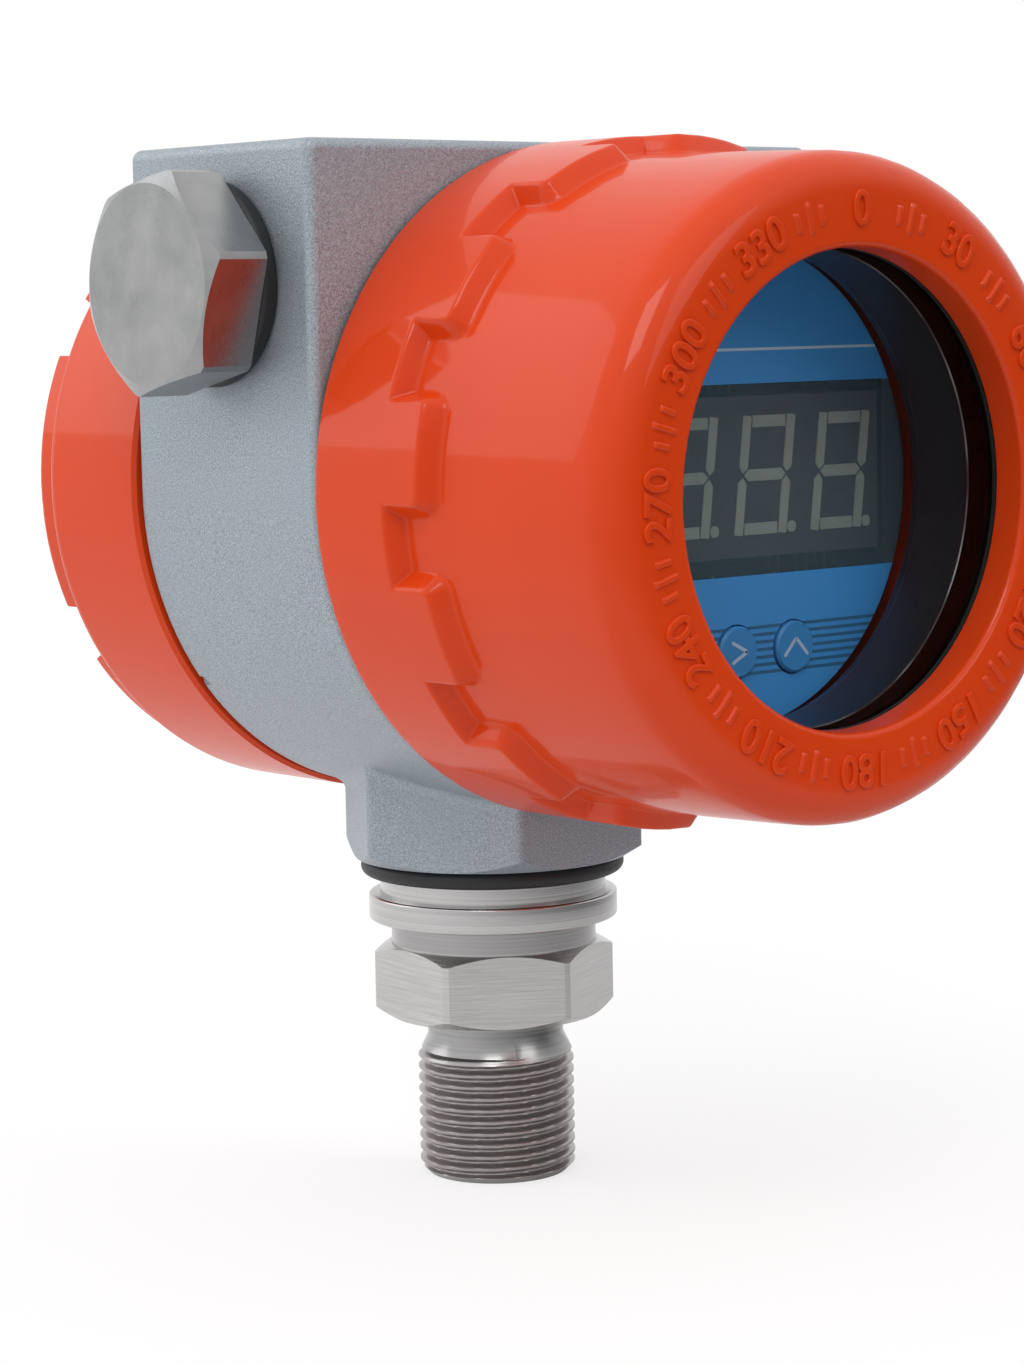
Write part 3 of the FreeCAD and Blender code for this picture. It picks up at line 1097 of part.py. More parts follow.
# ---------------------------------------------------------------- process connector and cell
def build_connector():
    """Turned stainless connector: thread, hexagon, collar, and a chamber for the measuring cell."""
    body = new_body("process_connector")
    top = "boss_base_z + shank_length"
    edge = "collar_edge"
    revolve(body, "turned_body", [
        ("0", "-process_end_chamfer"), ("process_thread_radius - process_end_chamfer", "-process_end_chamfer"),
        ("process_thread_radius", "0"), ("process_thread_radius", "process_thread_length"),
        ("relief_radius", "relief_start"), ("relief_radius", "hexagon_base + overrun"),
        ("waist_radius", "hexagon_base + overrun"), ("waist_radius", "waist_top"),
        ("collar_radius - " + edge, "waist_top"), ("collar_radius", "waist_top + " + edge),
        ("collar_radius", "collar_top - " + edge), ("collar_radius - " + edge, "collar_top"),
        ("shoulder_radius", "collar_top"), ("shoulder_radius", "boss_base_z"),
        ("neck_bore_radius - seat_gap", "boss_base_z"), ("neck_bore_radius - seat_gap", top), ("0", top)])
    hexa = outline(body, "XY", "hexagon_section", hexagon("hexagon_across"), "hexagon_base")
    pad(body, "hexagon", hexa, "hexagon_height")
    chamfer_hexagon(body, "hexagon_chamfer", "hexagon_face_radius", "hexagon_corner_radius",
                    "hexagon_base", "hexagon_base + hexagon_height", both=True)
    turn_off(body, "port", [
        ("0", "-process_end_chamfer - overrun"), ("port_mouth_radius + overrun", "-process_end_chamfer - overrun"),
        ("port_radius", "port_mouth_radius - port_radius - process_end_chamfer"),
        ("port_radius", "chamber_base"), ("chamber_radius", "chamber_base"), ("chamber_radius", top + " + overrun"),
        ("0", top + " + overrun")])
    place(body, Rotation(Vector(0, 0, 1), HEXAGON_TURN))

    def upright(item):
        place(item, UPRIGHT)

    build_ring("neck_o_ring", "neck_ring_section", "shoulder_radius + neck_ring_play",
               "boss_base_z - neck_ring_section / 2", upright)
    build_ring("sensor_seal", "cell_seal_section", "chamber_radius - cell_seal_section - seat_gap",
               "chamber_base + cell_seal_section / 2", upright)

    cell_body = new_body("sensor_capsule")
    low = "chamber_base + cell_seal_section"
    high = low + " + cell_height"
    revolve(cell_body, "capsule", [
        ("0", low + " + cell_cup_depth"), ("cell_cup_radius", low + " + cell_cup_depth"),
        ("cell_cup_radius", low), ("cell_radius", low), ("cell_radius", high), ("cell_header_radius", high),
        ("cell_header_radius", high + " + cell_header_height"), ("0", high + " + cell_header_height")])
    upright(cell_body)

    nut = build_tube("sensor_retainer", "retainer_nut_bore", "chamber_radius - seat_gap", high,
                     high + " + retainer_nut_height", upright)
    slots = start_sketch(nut, "XY", "slots_section", high + " + retainer_nut_height")
    add_polygon(slots, rectangle("2 * chamber_radius + overrun", "retainer_nut_slot_width"))
    pocket(nut, "slots", slots, "retainer_nut_slot_depth")
    build_leads(high + " + cell_header_height")


def build_leads(start):
    """Sleeved leads from the cell's header up and round to the feed-through."""
    leads = new_body("sensor_leads")
    path = start_sketch(leads, "YZ", "lead_path")
    end_y = "-partition_front + partition_thickness + feed_tail"
    bend = "partition_front - partition_thickness - feed_tail"
    path.addGeometry(Part.LineSegment(Vector(0, ROUGH, 0), Vector(0, 2 * ROUGH, 0)), False)
    arc = Part.ArcOfCircle(Part.Circle(Vector(-ROUGH, 2 * ROUGH, 0), Vector(0, 0, 1), ROUGH), 0, math.pi / 2)
    path.addGeometry(arc, False)
    path.addConstraint(Sketcher.Constraint("PointOnObject", 0, 1, -2))
    path.addConstraint(Sketcher.Constraint("PointOnObject", 0, 2, -2))
    path.addConstraint(Sketcher.Constraint("Coincident", 0, 2, 1, 1))
    path.addConstraint(Sketcher.Constraint("Horizontal", 0, 2, 1, 3))
    path.addConstraint(Sketcher.Constraint("Vertical", 1, 3, 1, 2))
    for index, (kind, geometry, end, value, expression) in enumerate((
            ("DistanceY", 0, 1, ROUGH, start),
            ("DistanceX", 1, 2, -ROUGH, end_y),
            ("DistanceY", 1, 2, 3 * ROUGH, "drum_axis_z - feed_drop"))):
        bond = path.addConstraint(Sketcher.Constraint(kind, -1, 1, geometry, end, value))
        fix(path, "Constraints[%d]" % bond, expression)
    section = rounds(leads, "XY", "lead_section", [("lead_radius",)], start)
    sweep = leads.newObject("PartDesign::AdditivePipe", "lead_sweep")
    sweep.Profile = section
    sweep.Spine = path
    leads.Tip = sweep
    place(leads, UPRIGHT)


HEXAGON_TURN = -33.4        # angle at which the connector comes tight

build_housing()
build_window_cover()
build_blind_cover()
for ring, put in (("front_cover_o_ring", on_front_face), ("rear_cover_o_ring", on_rear_face)):
    build_ring(ring, "cover_ring_section", "cover_thread_radius - cover_ring_relief - cover_ring_section",
               "groove_start + groove_width / 2", put)
build_window()
build_display()
build_feed_through()
build_terminals()
build_plug()
build_gland()
build_earth_terminal()
build_connector()

# ---------------------------------------------------------------- check and write
doc.recompute()
bodies = [item for item in doc.Objects if item.TypeId == "PartDesign::Body"]
for item in doc.Objects:
    faults = [state for state in item.State if state in ("Invalid", "Error")]
    if faults:
        raise RuntimeError("%s (%s): %s" % (item.Label, item.Name, faults))
for body in bodies:
    if body.Shape.isNull() or not body.Shape.isValid() or not body.Shape.Solids:
        raise RuntimeError("no valid solid in " + body.Label)

os.makedirs("parts", exist_ok=True)
for body in bodies:
    body.Shape.exportStep("parts/%s.step" % body.Label)
print("%d pieces written" % len(bodies))
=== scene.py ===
"""Looks of the explosion-proof pressure transmitter: painted covers with a stepped grip, cast housing,
turned stainless connector with its real thread, and the LED head behind glass.

Lengths are in millimetres until Piece writes a mesh; materials take them in metres, through MM.
The drum axis runs along Y at height DRUM_Z.
"""

import itertools
import math

import bmesh
import bpy
import numpy as np
from mathutils import Matrix, Vector


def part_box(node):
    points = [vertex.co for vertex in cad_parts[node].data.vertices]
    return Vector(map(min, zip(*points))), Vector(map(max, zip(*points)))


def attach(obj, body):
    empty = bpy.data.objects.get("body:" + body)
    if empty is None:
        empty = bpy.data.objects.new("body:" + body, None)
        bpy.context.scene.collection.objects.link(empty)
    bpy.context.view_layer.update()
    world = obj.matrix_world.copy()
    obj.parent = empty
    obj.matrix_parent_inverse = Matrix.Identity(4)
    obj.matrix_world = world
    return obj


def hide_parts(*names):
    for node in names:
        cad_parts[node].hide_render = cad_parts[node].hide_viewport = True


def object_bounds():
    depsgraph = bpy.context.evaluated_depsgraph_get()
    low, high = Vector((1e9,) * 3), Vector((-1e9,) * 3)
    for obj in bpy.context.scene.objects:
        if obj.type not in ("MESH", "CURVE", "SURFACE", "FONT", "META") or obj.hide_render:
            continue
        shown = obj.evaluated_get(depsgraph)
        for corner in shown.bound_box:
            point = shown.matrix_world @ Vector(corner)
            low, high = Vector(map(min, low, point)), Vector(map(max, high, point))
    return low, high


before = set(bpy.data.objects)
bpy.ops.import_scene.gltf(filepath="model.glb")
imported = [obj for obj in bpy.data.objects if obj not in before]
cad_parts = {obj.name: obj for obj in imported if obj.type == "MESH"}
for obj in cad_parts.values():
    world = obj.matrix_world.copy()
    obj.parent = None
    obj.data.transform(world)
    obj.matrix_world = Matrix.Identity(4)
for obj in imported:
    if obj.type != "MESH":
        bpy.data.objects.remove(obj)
cad_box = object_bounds()

MM = 0.001
TURN = 2 * math.pi


def span(node):
    """Lowest and highest corner of a CAD node, in millimetres."""
    low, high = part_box(node)
    return np.array(low) / MM, np.array(high) / MM


# ---------------------------------------------------------------- places, read from the frame
cover_low, cover_high = span("front_cover")
DRUM_Z = (cover_low[2] + cover_high[2]) / 2
COVER_FRONT = cover_low[1]                      # front face of the window cover
COVER_RIM = cover_high[1]                       # its rim, next to the housing
BAND_RADIUS = (cover_high[2] - cover_low[2]) / 2
stem_low, stem_high = span("process_connector")
plug_low, plug_high = span("entry_plug")
module_low, module_high = span("led_module")
film_low, film_high = span("led_window")
glass_low, glass_high = span("window_glass")
key_low, key_high = span("shift_key")
KEY_DROP = DRUM_Z - (key_low[2] + key_high[2]) / 2      # how far the keys lie under the drum axis
FLOOR_Z = cad_box[0][2]                         # in metres

# ---------------------------------------------------------------- sizes that a shape and a finish share
THREAD_WALL = 37.0              # radius of the covers' threads
THREAD_START = 0.2 - COVER_RIM  # distance from the middle of the housing where those threads start
THREAD_END = 35.0               # and where they end
COVER_PITCH = 1.5
RING_FRONT = glass_high[1]      # y where the retaining ring meets the glass
RING_BACK = RING_FRONT + 9.4
RING_BORE = 27.45
RING_STEP = 1.3                 # length of the wider end of the ring's bore
THREAD_PITCH = 1.5              # process thread
THREAD_RADIUS = 10.0
THREAD_DEPTH = 0.92
THREAD_TOP = 14.1
HEX_ACROSS = 27.0               # connector's hexagon
HEX_CORNER = 15.35              # radius to which its corners are turned off
HEX_FACE = 13.4                 # radius where its end cones start
HEX_LOW, HEX_HIGH = 19.6, 28.9
WAIST_TOP = 32.1                # narrow neck over the hexagon


# ---------------------------------------------------------------- meshes
class Piece:
    """Collects grids of points and writes them as one closed mesh at the origin."""

    def __init__(self, name):
        self.name = name
        self.points, self.quads, self.count = [], [], 0

    def grid(self, x, y, z, around=False, along=False):
        """Add a surface from arrays of equal shape (rows, columns), joined round the columns or the rows."""
        rows, columns = x.shape
        index = self.count + np.arange(rows * columns).reshape(rows, columns)
        if around:
            index = np.concatenate([index, index[:, :1]], axis=1)
        if along:
            index = np.concatenate([index, index[:1]], axis=0)
        quads = np.stack([index[:-1, :-1], index[1:, :-1], index[1:, 1:], index[:-1, 1:]], -1)
        self.quads.append(quads.reshape(-1, 4))
        self.points.append(np.stack([x, y, z], -1).reshape(-1, 3))
        self.count += rows * columns

    def build(self, body, material, sharp=40, replaces=()):
        """Write the mesh, drop its slivers and hang it on its body."""
        mesh = bpy.data.meshes.new(self.name)
        points, quads = np.concatenate(self.points) * MM, np.concatenate(self.quads)
        mesh.from_pydata(points.tolist(), [], quads.tolist())
        item = hang(self.name, mesh, body, material, sharp, slivers=True)
        if replaces:
            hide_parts(*replaces)


def hang(name, mesh, body, material, sharp, slivers=False):
    """Merge doubles, point the faces outwards, shade smooth between sharp edges, and ride on the body."""
    shape = bmesh.new()
    shape.from_mesh(mesh)
    bmesh.ops.remove_doubles(shape, verts=shape.verts, dist=0.001 * MM)
    if slivers:
        bmesh.ops.dissolve_degenerate(shape, edges=shape.edges, dist=0.0005 * MM)
    bmesh.ops.recalc_face_normals(shape, faces=shape.faces)
    shape.to_mesh(mesh)
    shape.free()
    mesh.polygons.foreach_set("use_smooth", [True] * len(mesh.polygons))
    mesh.set_sharp_from_angle(angle=math.radians(sharp))
    mesh.materials.clear()
    mesh.materials.append(material)
    item = bpy.data.objects.new(name, mesh)
    bpy.context.scene.collection.objects.link(item)
    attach(item, body)
    return item


def round_corner(start, corner, end, radius, steps=6):
    """Points of the arc of the given radius that rounds the corner between two straight runs."""
    corner = np.array(corner, float)
    inward = [np.array(p, float) - corner for p in (start, end)]
    inward = [v / np.linalg.norm(v) for v in inward]
    half = math.acos(float(np.clip(inward[0] @ inward[1], -1, 1))) / 2
    middle = inward[0] + inward[1]
    centre = corner + middle / np.linalg.norm(middle) * radius / math.sin(half)
    first = corner + inward[0] * radius / math.tan(half) - centre
    last = corner + inward[1] * radius / math.tan(half) - centre
    t = np.linspace(0, 1, steps)[:, None]
    arc = first * (1 - t) + last * t
    return centre + arc / np.linalg.norm(arc, axis=1)[:, None] * radius


def rounded(points):
    """Closed outline through (radius, height, rounding) corners, with an arc at each that has a rounding."""
    outline = []
    for k, (r, h, rounding) in enumerate(points):
        if rounding:
            before, after = points[k - 1][:2], points[(k + 1) % len(points)][:2]
            outline.extend(round_corner(before, (r, h), after, rounding))
        else:
            outline.append((r, h))
    return np.array(outline, float)


def smooth(t):
    """Ease from 0 to 1 with flat ends."""
    t = np.clip(t, 0, 1)
    return t * t * (3 - 2 * t)


# ---------------------------------------------------------------- shader building
class Value:
    """A number socket of one node tree; arithmetic on it adds Math nodes."""

    def __init__(self, tree, socket):
        self.tree, self.socket = tree, socket

    def maths(self, operation, *terms):
        node = self.tree.nodes.new("ShaderNodeMath")
        node.operation = operation
        for place, term in zip(node.inputs, terms):
            if isinstance(term, Value):
                self.tree.links.new(term.socket, place)
            else:
                place.default_value = term
        return Value(self.tree, node.outputs[0])

    def __add__(self, other):
        return self.maths("ADD", self, other)

    def __sub__(self, other):
        return self.maths("SUBTRACT", self, other)

    def __rsub__(self, other):
        return self.maths("SUBTRACT", other, self)

    def __mul__(self, other):
        return self.maths("MULTIPLY", self, other)

    def __truediv__(self, other):
        return self.maths("DIVIDE", self, other)

    __radd__, __rmul__ = __add__, __mul__

    def __abs__(self):
        return self.maths("ABSOLUTE", self)

    def lesser(self, other):
        return self.maths("MINIMUM", self, other)

    def greater(self, other):
        return self.maths("MAXIMUM", self, other)

    def root(self):
        return self.maths("SQRT", self)

    def wave(self):
        return self.maths("SINE", self)

    def repeat(self, period):
        """Distance to the nearest multiple of the period."""
        return abs(self.maths("WRAP", self, period / 2, -period / 2))

    def below(self, limit, blur=0.00004):
        """1 where the value is under the limit, 0 over it, with a narrow soft edge."""
        return ((limit - self) / blur + 0.5).clamp()

    def over(self, limit, blur=0.00004):
        return 1 - self.below(limit, blur)

    def clamp(self):
        return self.lesser(1.0).greater(0.0)


class Graph:
    """One node tree, emptied, and the one way in which nodes other than maths are added to it."""

    def __init__(self, tree):
        self.tree = tree
        tree.nodes.clear()

    def node(self, kind, settings=None, values=None):
        """A node of any other kind: its settings first, then the values or links of its sockets."""
        node = self.tree.nodes.new("ShaderNode" + kind)
        for key, setting in (settings or {}).items():
            setattr(node, key, setting)
        for key, value in (values or {}).items():
            socket = node.inputs[key]
            if isinstance(value, Value):
                self.tree.links.new(value.socket, socket)
            elif isinstance(value, bpy.types.NodeSocket):
                self.tree.links.new(value, socket)
            else:
                socket.default_value = value
        return node


class Finish(Graph):
    """One material: its node tree and the few kinds of node that it is made of."""

    def __init__(self, name):
        self.material = bpy.data.materials.new(name)
        self.material.use_nodes = True
        super().__init__(self.material.node_tree)
        self.place = None

    def position(self):
        """Object coordinates, as a socket."""
        if self.place is None:
            self.place = self.node("TexCoord").outputs["Object"]
        return self.place

    def axes(self):
        """Object coordinates in metres, as three values."""
        parts = self.node("SeparateXYZ", values={"Vector": self.position()})
        return [Value(self.tree, parts.outputs[k]) for k in range(3)]

    def stretched(self, scale):
        """Object coordinates drawn out: more repeats a metre along one axis than along another."""
        return self.node("Mapping", values={"Vector": self.position(), "Scale": scale}).outputs[0]

    def vector(self, x, y, z=0.0):
        return self.node("CombineXYZ", values={"X": x, "Y": y, "Z": z}).outputs[0]

    def noise(self, scale, detail=2.0, roughness=0.5, vector=None):
        """Cloudy noise between 0 and 1, scale in repeats a metre."""
        node = self.node("TexNoise", values={"Vector": vector or self.position(), "Scale": scale,
                                             "Detail": detail, "Roughness": roughness})
        return Value(self.tree, node.outputs["Fac"])

    def cells(self, scale, vector=None):
        """Distance to the nearest point of a scattered set."""
        node = self.node("TexVoronoi", values={"Vector": vector or self.position(), "Scale": scale})
        return Value(self.tree, node.outputs["Distance"])

    def mix(self, amount, first, second):
        """Colour between two colours, by a value."""
        node = self.node("Mix", {"data_type": "RGBA"}, {"Factor": amount})
        for place, colour in zip((node.inputs[6], node.inputs[7]), (first, second)):
            if isinstance(colour, bpy.types.NodeSocket):
                self.tree.links.new(colour, place)
            else:
                place.default_value = (*colour, 1.0)
        return node.outputs[2]

    def bump(self, height, depth, strength=1.0):
        """Normal of a surface raised by height (0 to 1) times depth in metres."""
        values = {"Height": height, "Distance": depth, "Strength": strength}
        return self.node("Bump", values=values).outputs[0]

    def principled(self, **values):
        """The main shader; a socket's name is written with _ for each space."""
        return self.node("BsdfPrincipled", values={key.replace("_", " "): values[key] for key in values})

    def done(self, shader):
        self.node("OutputMaterial", values={"Surface": shader.outputs[0]})
        return self.material


def spread(value, low, high):
    """Carry 0..1 to low..high."""
    return value * (high - low) + low


def dress(material, *nodes):
    """Give CAD nodes a material."""
    for name in nodes:
        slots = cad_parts[name].data.materials
        slots.clear()
        slots.append(material)


# ---------------------------------------------------------------- finishes
WHITE = (1, 1, 1, 1)
BARE_METAL = (0.50, 0.51, 0.52)


def cover_thread(f, inner, outer):
    """1 on the threaded wall between two radii round the drum axis, and the height of its turns (0 to 1)."""
    x, y, z = f.axes()
    rise = z - DRUM_Z * MM
    reach = (x * x + rise * rise).root()
    bare = reach.over(inner * MM) * reach.below(outer * MM)
    bare = bare * abs(y).over(THREAD_START * MM) * abs(y).below(THREAD_END * MM)
    return bare, spread((y * (TURN / (COVER_PITCH * MM))).wave(), 0.5, 1.0) * bare


def orange_enamel():
    """Thick glossy enamel: faint orange peel, a few dull smears in the gloss, and bare threads inside."""
    f = Finish("orange_enamel")
    bare, turns = cover_thread(f, THREAD_WALL - 0.12, THREAD_WALL + 0.12)
    peel = f.noise(330, 2.0)
    cloud = f.noise(45, 3.0)
    colour = f.mix(cloud, (0.595, 0.041, 0.0025), (0.66, 0.052, 0.0035))
    colour = f.mix(bare, colour, BARE_METAL)
    shader = f.principled(Base_Color=colour, Metallic=bare, Roughness=spread(cloud, 0.34, 0.46),
                          Specular_IOR_Level=0.06, Coat_Weight=(1 - bare) * 0.42, Coat_Roughness=0.07,
                          Normal=f.bump(peel * 0.12 + turns, 0.0005, 0.5))
    return f.done(shader)


def cast_lacquer():
    """Silver-grey metallic lacquer over a blasted casting: bright and dark grains on a soft relief, and bare
    threads on the collars."""
    f = Finish("cast_lacquer")
    grain = f.noise(5200, 2.0, 0.6)
    swell = f.noise(1500, 2.0)
    flake = f.cells(5200)
    cloud = f.noise(60, 3.0)
    bare, turns = cover_thread(f, THREAD_WALL - 1.2, THREAD_WALL + 0.3)
    tone = f.mix(spread(grain, -0.9, 1.9).clamp(), (0.19, 0.223, 0.252), (0.44, 0.486, 0.536))
    tone = f.mix(spread(cloud, -0.5, 0.9).clamp(), tone, (0.315, 0.352, 0.392))
    tone = f.mix(bare, tone, BARE_METAL)
    relief = (grain * 0.4 + swell * 0.6) * (1 - bare) * 0.22 + turns
    shader = f.principled(Base_Color=tone, Metallic=spread(bare, 0.45, 1.0),
                          Roughness=spread(flake, 0.34, 0.60) - bare * 0.12,
                          Normal=f.bump(relief, 0.0005, 0.8))
    return f.done(shader)


def turned_steel():
    """Stainless steel turned about Z: marks that depend on radius and height only, the hexagon's flats
    brushed level, a dull thread painted darker, partly oiled steel and partly painted shade in its valleys,
    and painted shade in the relief and the waist."""
    f = Finish("turned_steel")
    x, y, z = f.axes()
    reach = (x * x + y * y).root()
    rings = f.noise(1.0, 2.0, 0.6, f.vector(reach * 2600.0, z * 2600.0))
    brushed = f.noise(1.0, 3.0, 0.7, f.stretched((130.0, 130.0, 5200.0)))
    cloud = f.noise(140, 3.0)
    flats = z.over((HEX_LOW + 0.1) * MM) * z.below((HEX_HIGH - 0.1) * MM) * reach.over(HEX_FACE * MM)
    thread = z.below((THREAD_TOP + 0.5) * MM)
    marks = rings + flats * (brushed - rings)
    colour = f.mix(spread(marks, -0.4, 1.4).clamp(), (0.42, 0.414, 0.412), (0.60, 0.592, 0.588))
    # thread painted darker: partly oiled steel, partly painted shade in the thread's valleys
    colour = f.mix(thread * 0.8, colour, (0.34, 0.322, 0.315))
    relief = z.over((THREAD_TOP + 0.4) * MM) * z.below((HEX_LOW - 0.3) * MM)
    shade = relief + z.over((HEX_HIGH + 0.2) * MM) * z.below((WAIST_TOP - 0.1) * MM)
    colour = f.mix(shade * 0.6, colour, (0.25, 0.245, 0.245))
    shader = f.principled(Base_Color=colour, Metallic=1.0,
                          Roughness=spread(marks, 0.17, 0.30) + spread(cloud, -0.03, 0.05) + thread * 0.05,
                          Normal=f.bump(marks * (1 - thread), 0.00002, 0.6))
    return f.done(shader)


def faced_steel():
    """Plug: turned about X and clouded by handling."""
    f = Finish("faced_steel")
    x, y, z = f.axes()
    high = z - (plug_low[2] + plug_high[2]) / 2 * MM
    rings = f.noise(1.0, 2.0, 0.6, f.vector((y * y + high * high).root() * 2400.0, x * 2400.0))
    cloud = f.noise(110, 4.0, 0.6)
    stain = f.noise(38, 2.0)
    colour = f.mix(spread(cloud, -0.8, 1.8).clamp(), (0.27, 0.274, 0.278), (0.39, 0.39, 0.386))
    colour = f.mix(spread(stain, -0.9, 1.3).clamp() * 0.5, colour, (0.25, 0.25, 0.256))
    shader = f.principled(Base_Color=colour, Metallic=1.0,
                          Roughness=spread(rings, 0.24, 0.34) + spread(cloud, -0.05, 0.06),
                          Normal=f.bump(rings, 0.00002, 0.4))
    return f.done(shader)


def plated_metal(name, tone, rough):
    """Nickel, zinc or bare brass with a faint mottle."""
    f = Finish(name)
    cloud = f.noise(300, 3.0)
    colour = f.mix(cloud, tuple(0.86 * c for c in tone), tone)
    shader = f.principled(Base_Color=colour, Metallic=1.0,
                          Roughness=spread(cloud, rough - 0.06, rough + 0.08),
                          Normal=f.bump(cloud, 0.00002, 0.3))
    return f.done(shader)


def moulded(name, tone, rough, grain=1500, depth=0.00002):
    """Plastic, rubber or potting: even colour, fine grain in gloss and relief."""
    f = Finish(name)
    speck = f.noise(grain, 2.0)
    cloud = f.noise(80, 2.0)
    colour = f.mix(cloud, tuple(0.82 * c for c in tone), tone)
    shader = f.principled(Base_Color=colour, Roughness=spread(speck, rough - 0.07, rough + 0.07),
                          Normal=f.bump(speck, depth, 0.5))
    return f.done(shader)


def anodised_black():
    """Black anodised ring: fine turning marks, a painted plum reflection towards the back, painted highlights
    on the edges of the bore as lighter metallic patches, and painted shade as dead black on the face under
    the glass."""
    f = Finish("anodised_black")
    x, y, z = f.axes()
    marks = (y * (TURN / 0.0005)).wave()
    cloud = f.noise(90, 2.0)
    # painted reflection: plum tint towards the back of the bore, for the orange and blue it mirrors
    back = ((y - RING_FRONT * MM) / 0.009).clamp()
    colour = f.mix(back * spread(cloud, 0.6, 1.0), (0.009, 0.009, 0.010), (0.032, 0.016, 0.027))
    rise = z - DRUM_Z * MM
    bore = (x * x + rise * rise).root().below((RING_BORE + 0.24) * MM)
    # painted highlight: the bore's front and back edges patchily lighter and metallic, for the glints on
    # their rounds
    corners = y.below((RING_FRONT + 0.2) * MM) + abs(y - (RING_BACK - RING_STEP - 0.1) * MM).below(0.0001)
    painted_edge_glint = (corners * bore).clamp() * f.noise(95, 2.0).over(0.50, 0.16)
    colour = f.mix(painted_edge_glint, colour, (0.20, 0.20, 0.21))
    shader = f.principled(Base_Color=colour, Metallic=painted_edge_glint, Roughness=spread(cloud, 0.26, 0.36),
                          Specular_IOR_Level=0.35, Normal=f.bump(spread(marks, 0.4, 0.6), 0.00003, 0.4))
    # painted shade: the ring's face under the glass is dead matt black, with no reflection, where it lies in
    # shade
    matt = f.node("BsdfDiffuse", values={"Color": (0.002, 0.002, 0.002, 1)})
    painted_shade_bed = y.below(RING_FRONT * MM + 0.00003, 0.00001)
    return f.done(f.node("MixShader", values={0: painted_shade_bed, 1: shader.outputs[0], 2: matt.outputs[0]}))


def clear_glass():
    """Window pane, coated against glare: see-through, a faint mirror where a ray enters, and a black edge."""
    f = Finish("clear_glass")
    edge = f.node("BsdfDiffuse", values={"Color": (0.004, 0.004, 0.004, 1)})
    gloss = f.node("BsdfGlossy", values={"Color": WHITE, "Roughness": 0.02})
    clear = f.node("BsdfTransparent", values={"Color": (0.97, 0.985, 0.98, 1)})
    x, _, z = f.axes()
    rise = z - DRUM_Z * MM
    rim = (x * x + rise * rise).root().over((glass_high[0] - glass_low[0]) / 2 * MM - 0.0001)
    inside = Value(f.tree, f.node("NewGeometry").outputs["Backfacing"])
    share = Value(f.tree, f.node("Fresnel", values={"IOR": 1.45}).outputs[0]) * (1 - inside) * 0.35
    pane = f.node("MixShader", values={0: share, 1: clear.outputs[0], 2: gloss.outputs[0]})
    return f.done(f.node("MixShader", values={0: rim, 1: pane.outputs[0], 2: edge.outputs[0]}))


def plate_print():
    """Blue printed film: the head a shade darker as painted shade, a pale rule under the head, a dark slate
    band level with the LED window as painted shade of the hollow behind it, and seven dark rules behind the
    keys."""
    f = Finish("plate_print")
    x, _, z = f.axes()
    height = z - DRUM_Z * MM
    weave = f.noise(900, 2.0)
    # painted shade: the head above the rule a shade darker than the rest of the plate
    head = height.below(0.0158)
    blue = f.mix(head, (0.046, 0.280, 0.69), (0.054, 0.290, 0.70))
    blue = f.mix(spread(weave, 0.0, 0.25), blue, (0.07, 0.32, 0.72))
    # painted shade: the band level with the LED window is dark slate, for the shaded hollow seen through the
    # smoked film
    window = abs(z - (film_low[2] + film_high[2]) / 2 * MM).below((film_high[2] - film_low[2]) / 2 * MM)
    blue = f.mix(window, blue, (0.055, 0.082, 0.106))
    rule = abs(height - 0.0159).below(0.00016) * x.below(0.0246)
    colour = f.mix(rule * 0.85, blue, (0.60, 0.72, 0.84))
    band = abs(height + KEY_DROP * MM).below(0.0030)
    stripes = (height + KEY_DROP * MM).repeat(0.0009).below(0.0002) * band
    colour = f.mix(stripes * 0.7, colour, (0.020, 0.062, 0.105))
    shader = f.principled(Base_Color=colour, Roughness=spread(weave, 0.34, 0.46),
                          Normal=f.bump(weave, 0.00001, 0.3))
    return f.done(shader)


def smoked_film():
    """Smoked window in the plate, mostly see-through, darker towards the top as painted shade."""
    f = Finish("smoked_film")
    z = f.axes()[2]
    cloud = f.noise(200, 2.0)
    # painted shade: the film darker towards the top
    painted_top_shade = spread(((z - DRUM_Z * MM) / 0.0226 + 0.5).clamp(), 1.0, 0.7)
    colour = f.mix(painted_top_shade, (0.10, 0.145, 0.19), (0.11, 0.185, 0.24))
    shader = f.principled(Base_Color=colour, Roughness=spread(cloud, 0.24, 0.30), Alpha=0.26)
    return f.done(shader)


PAD_PITCH = 0.00508             # of the board's solder pads, in metres


def solder_mask():
    """Green board: straight traces under the lacquer, paler than it, and rows of pads."""
    f = Finish("solder_mask")
    x, _, z = f.axes()
    upright = f.noise(160, 1.0, vector=f.stretched((1.0, 1.0, 0.15))).below(0.52, 0.02)
    level = f.noise(170, 1.0, vector=f.stretched((0.15, 1.0, 1.0))).below(0.48, 0.02)
    lane = x.repeat(0.0016).below(0.0002) * upright
    rung = z.repeat(0.0021).below(0.00018) * level
    copper = lane.greater(rung)
    colour = f.mix(copper, (0.010, 0.085, 0.035), (0.022, 0.16, 0.065))
    column, row = x.repeat(PAD_PITCH), z.repeat(PAD_PITCH)
    pad = (column * column + row * row).root().below(0.0006)
    colour = f.mix(pad * f.noise(90, 1.0).below(0.45, 0.02), colour, (0.62, 0.60, 0.56))
    shader = f.principled(Base_Color=colour, Roughness=0.32, Normal=f.bump(copper, 0.00003, 0.6))
    return f.done(shader)


def led_face():
    """Grey lacquer of the LED module, finely speckled."""
    f = Finish("led_face")
    speck = f.noise(1200, 2.0)
    colour = f.mix(speck, (0.110, 0.104, 0.118), (0.140, 0.133, 0.147))
    shader = f.principled(Base_Color=colour, Roughness=0.5, Normal=f.bump(speck, 0.00001, 0.4))
    return f.done(shader)


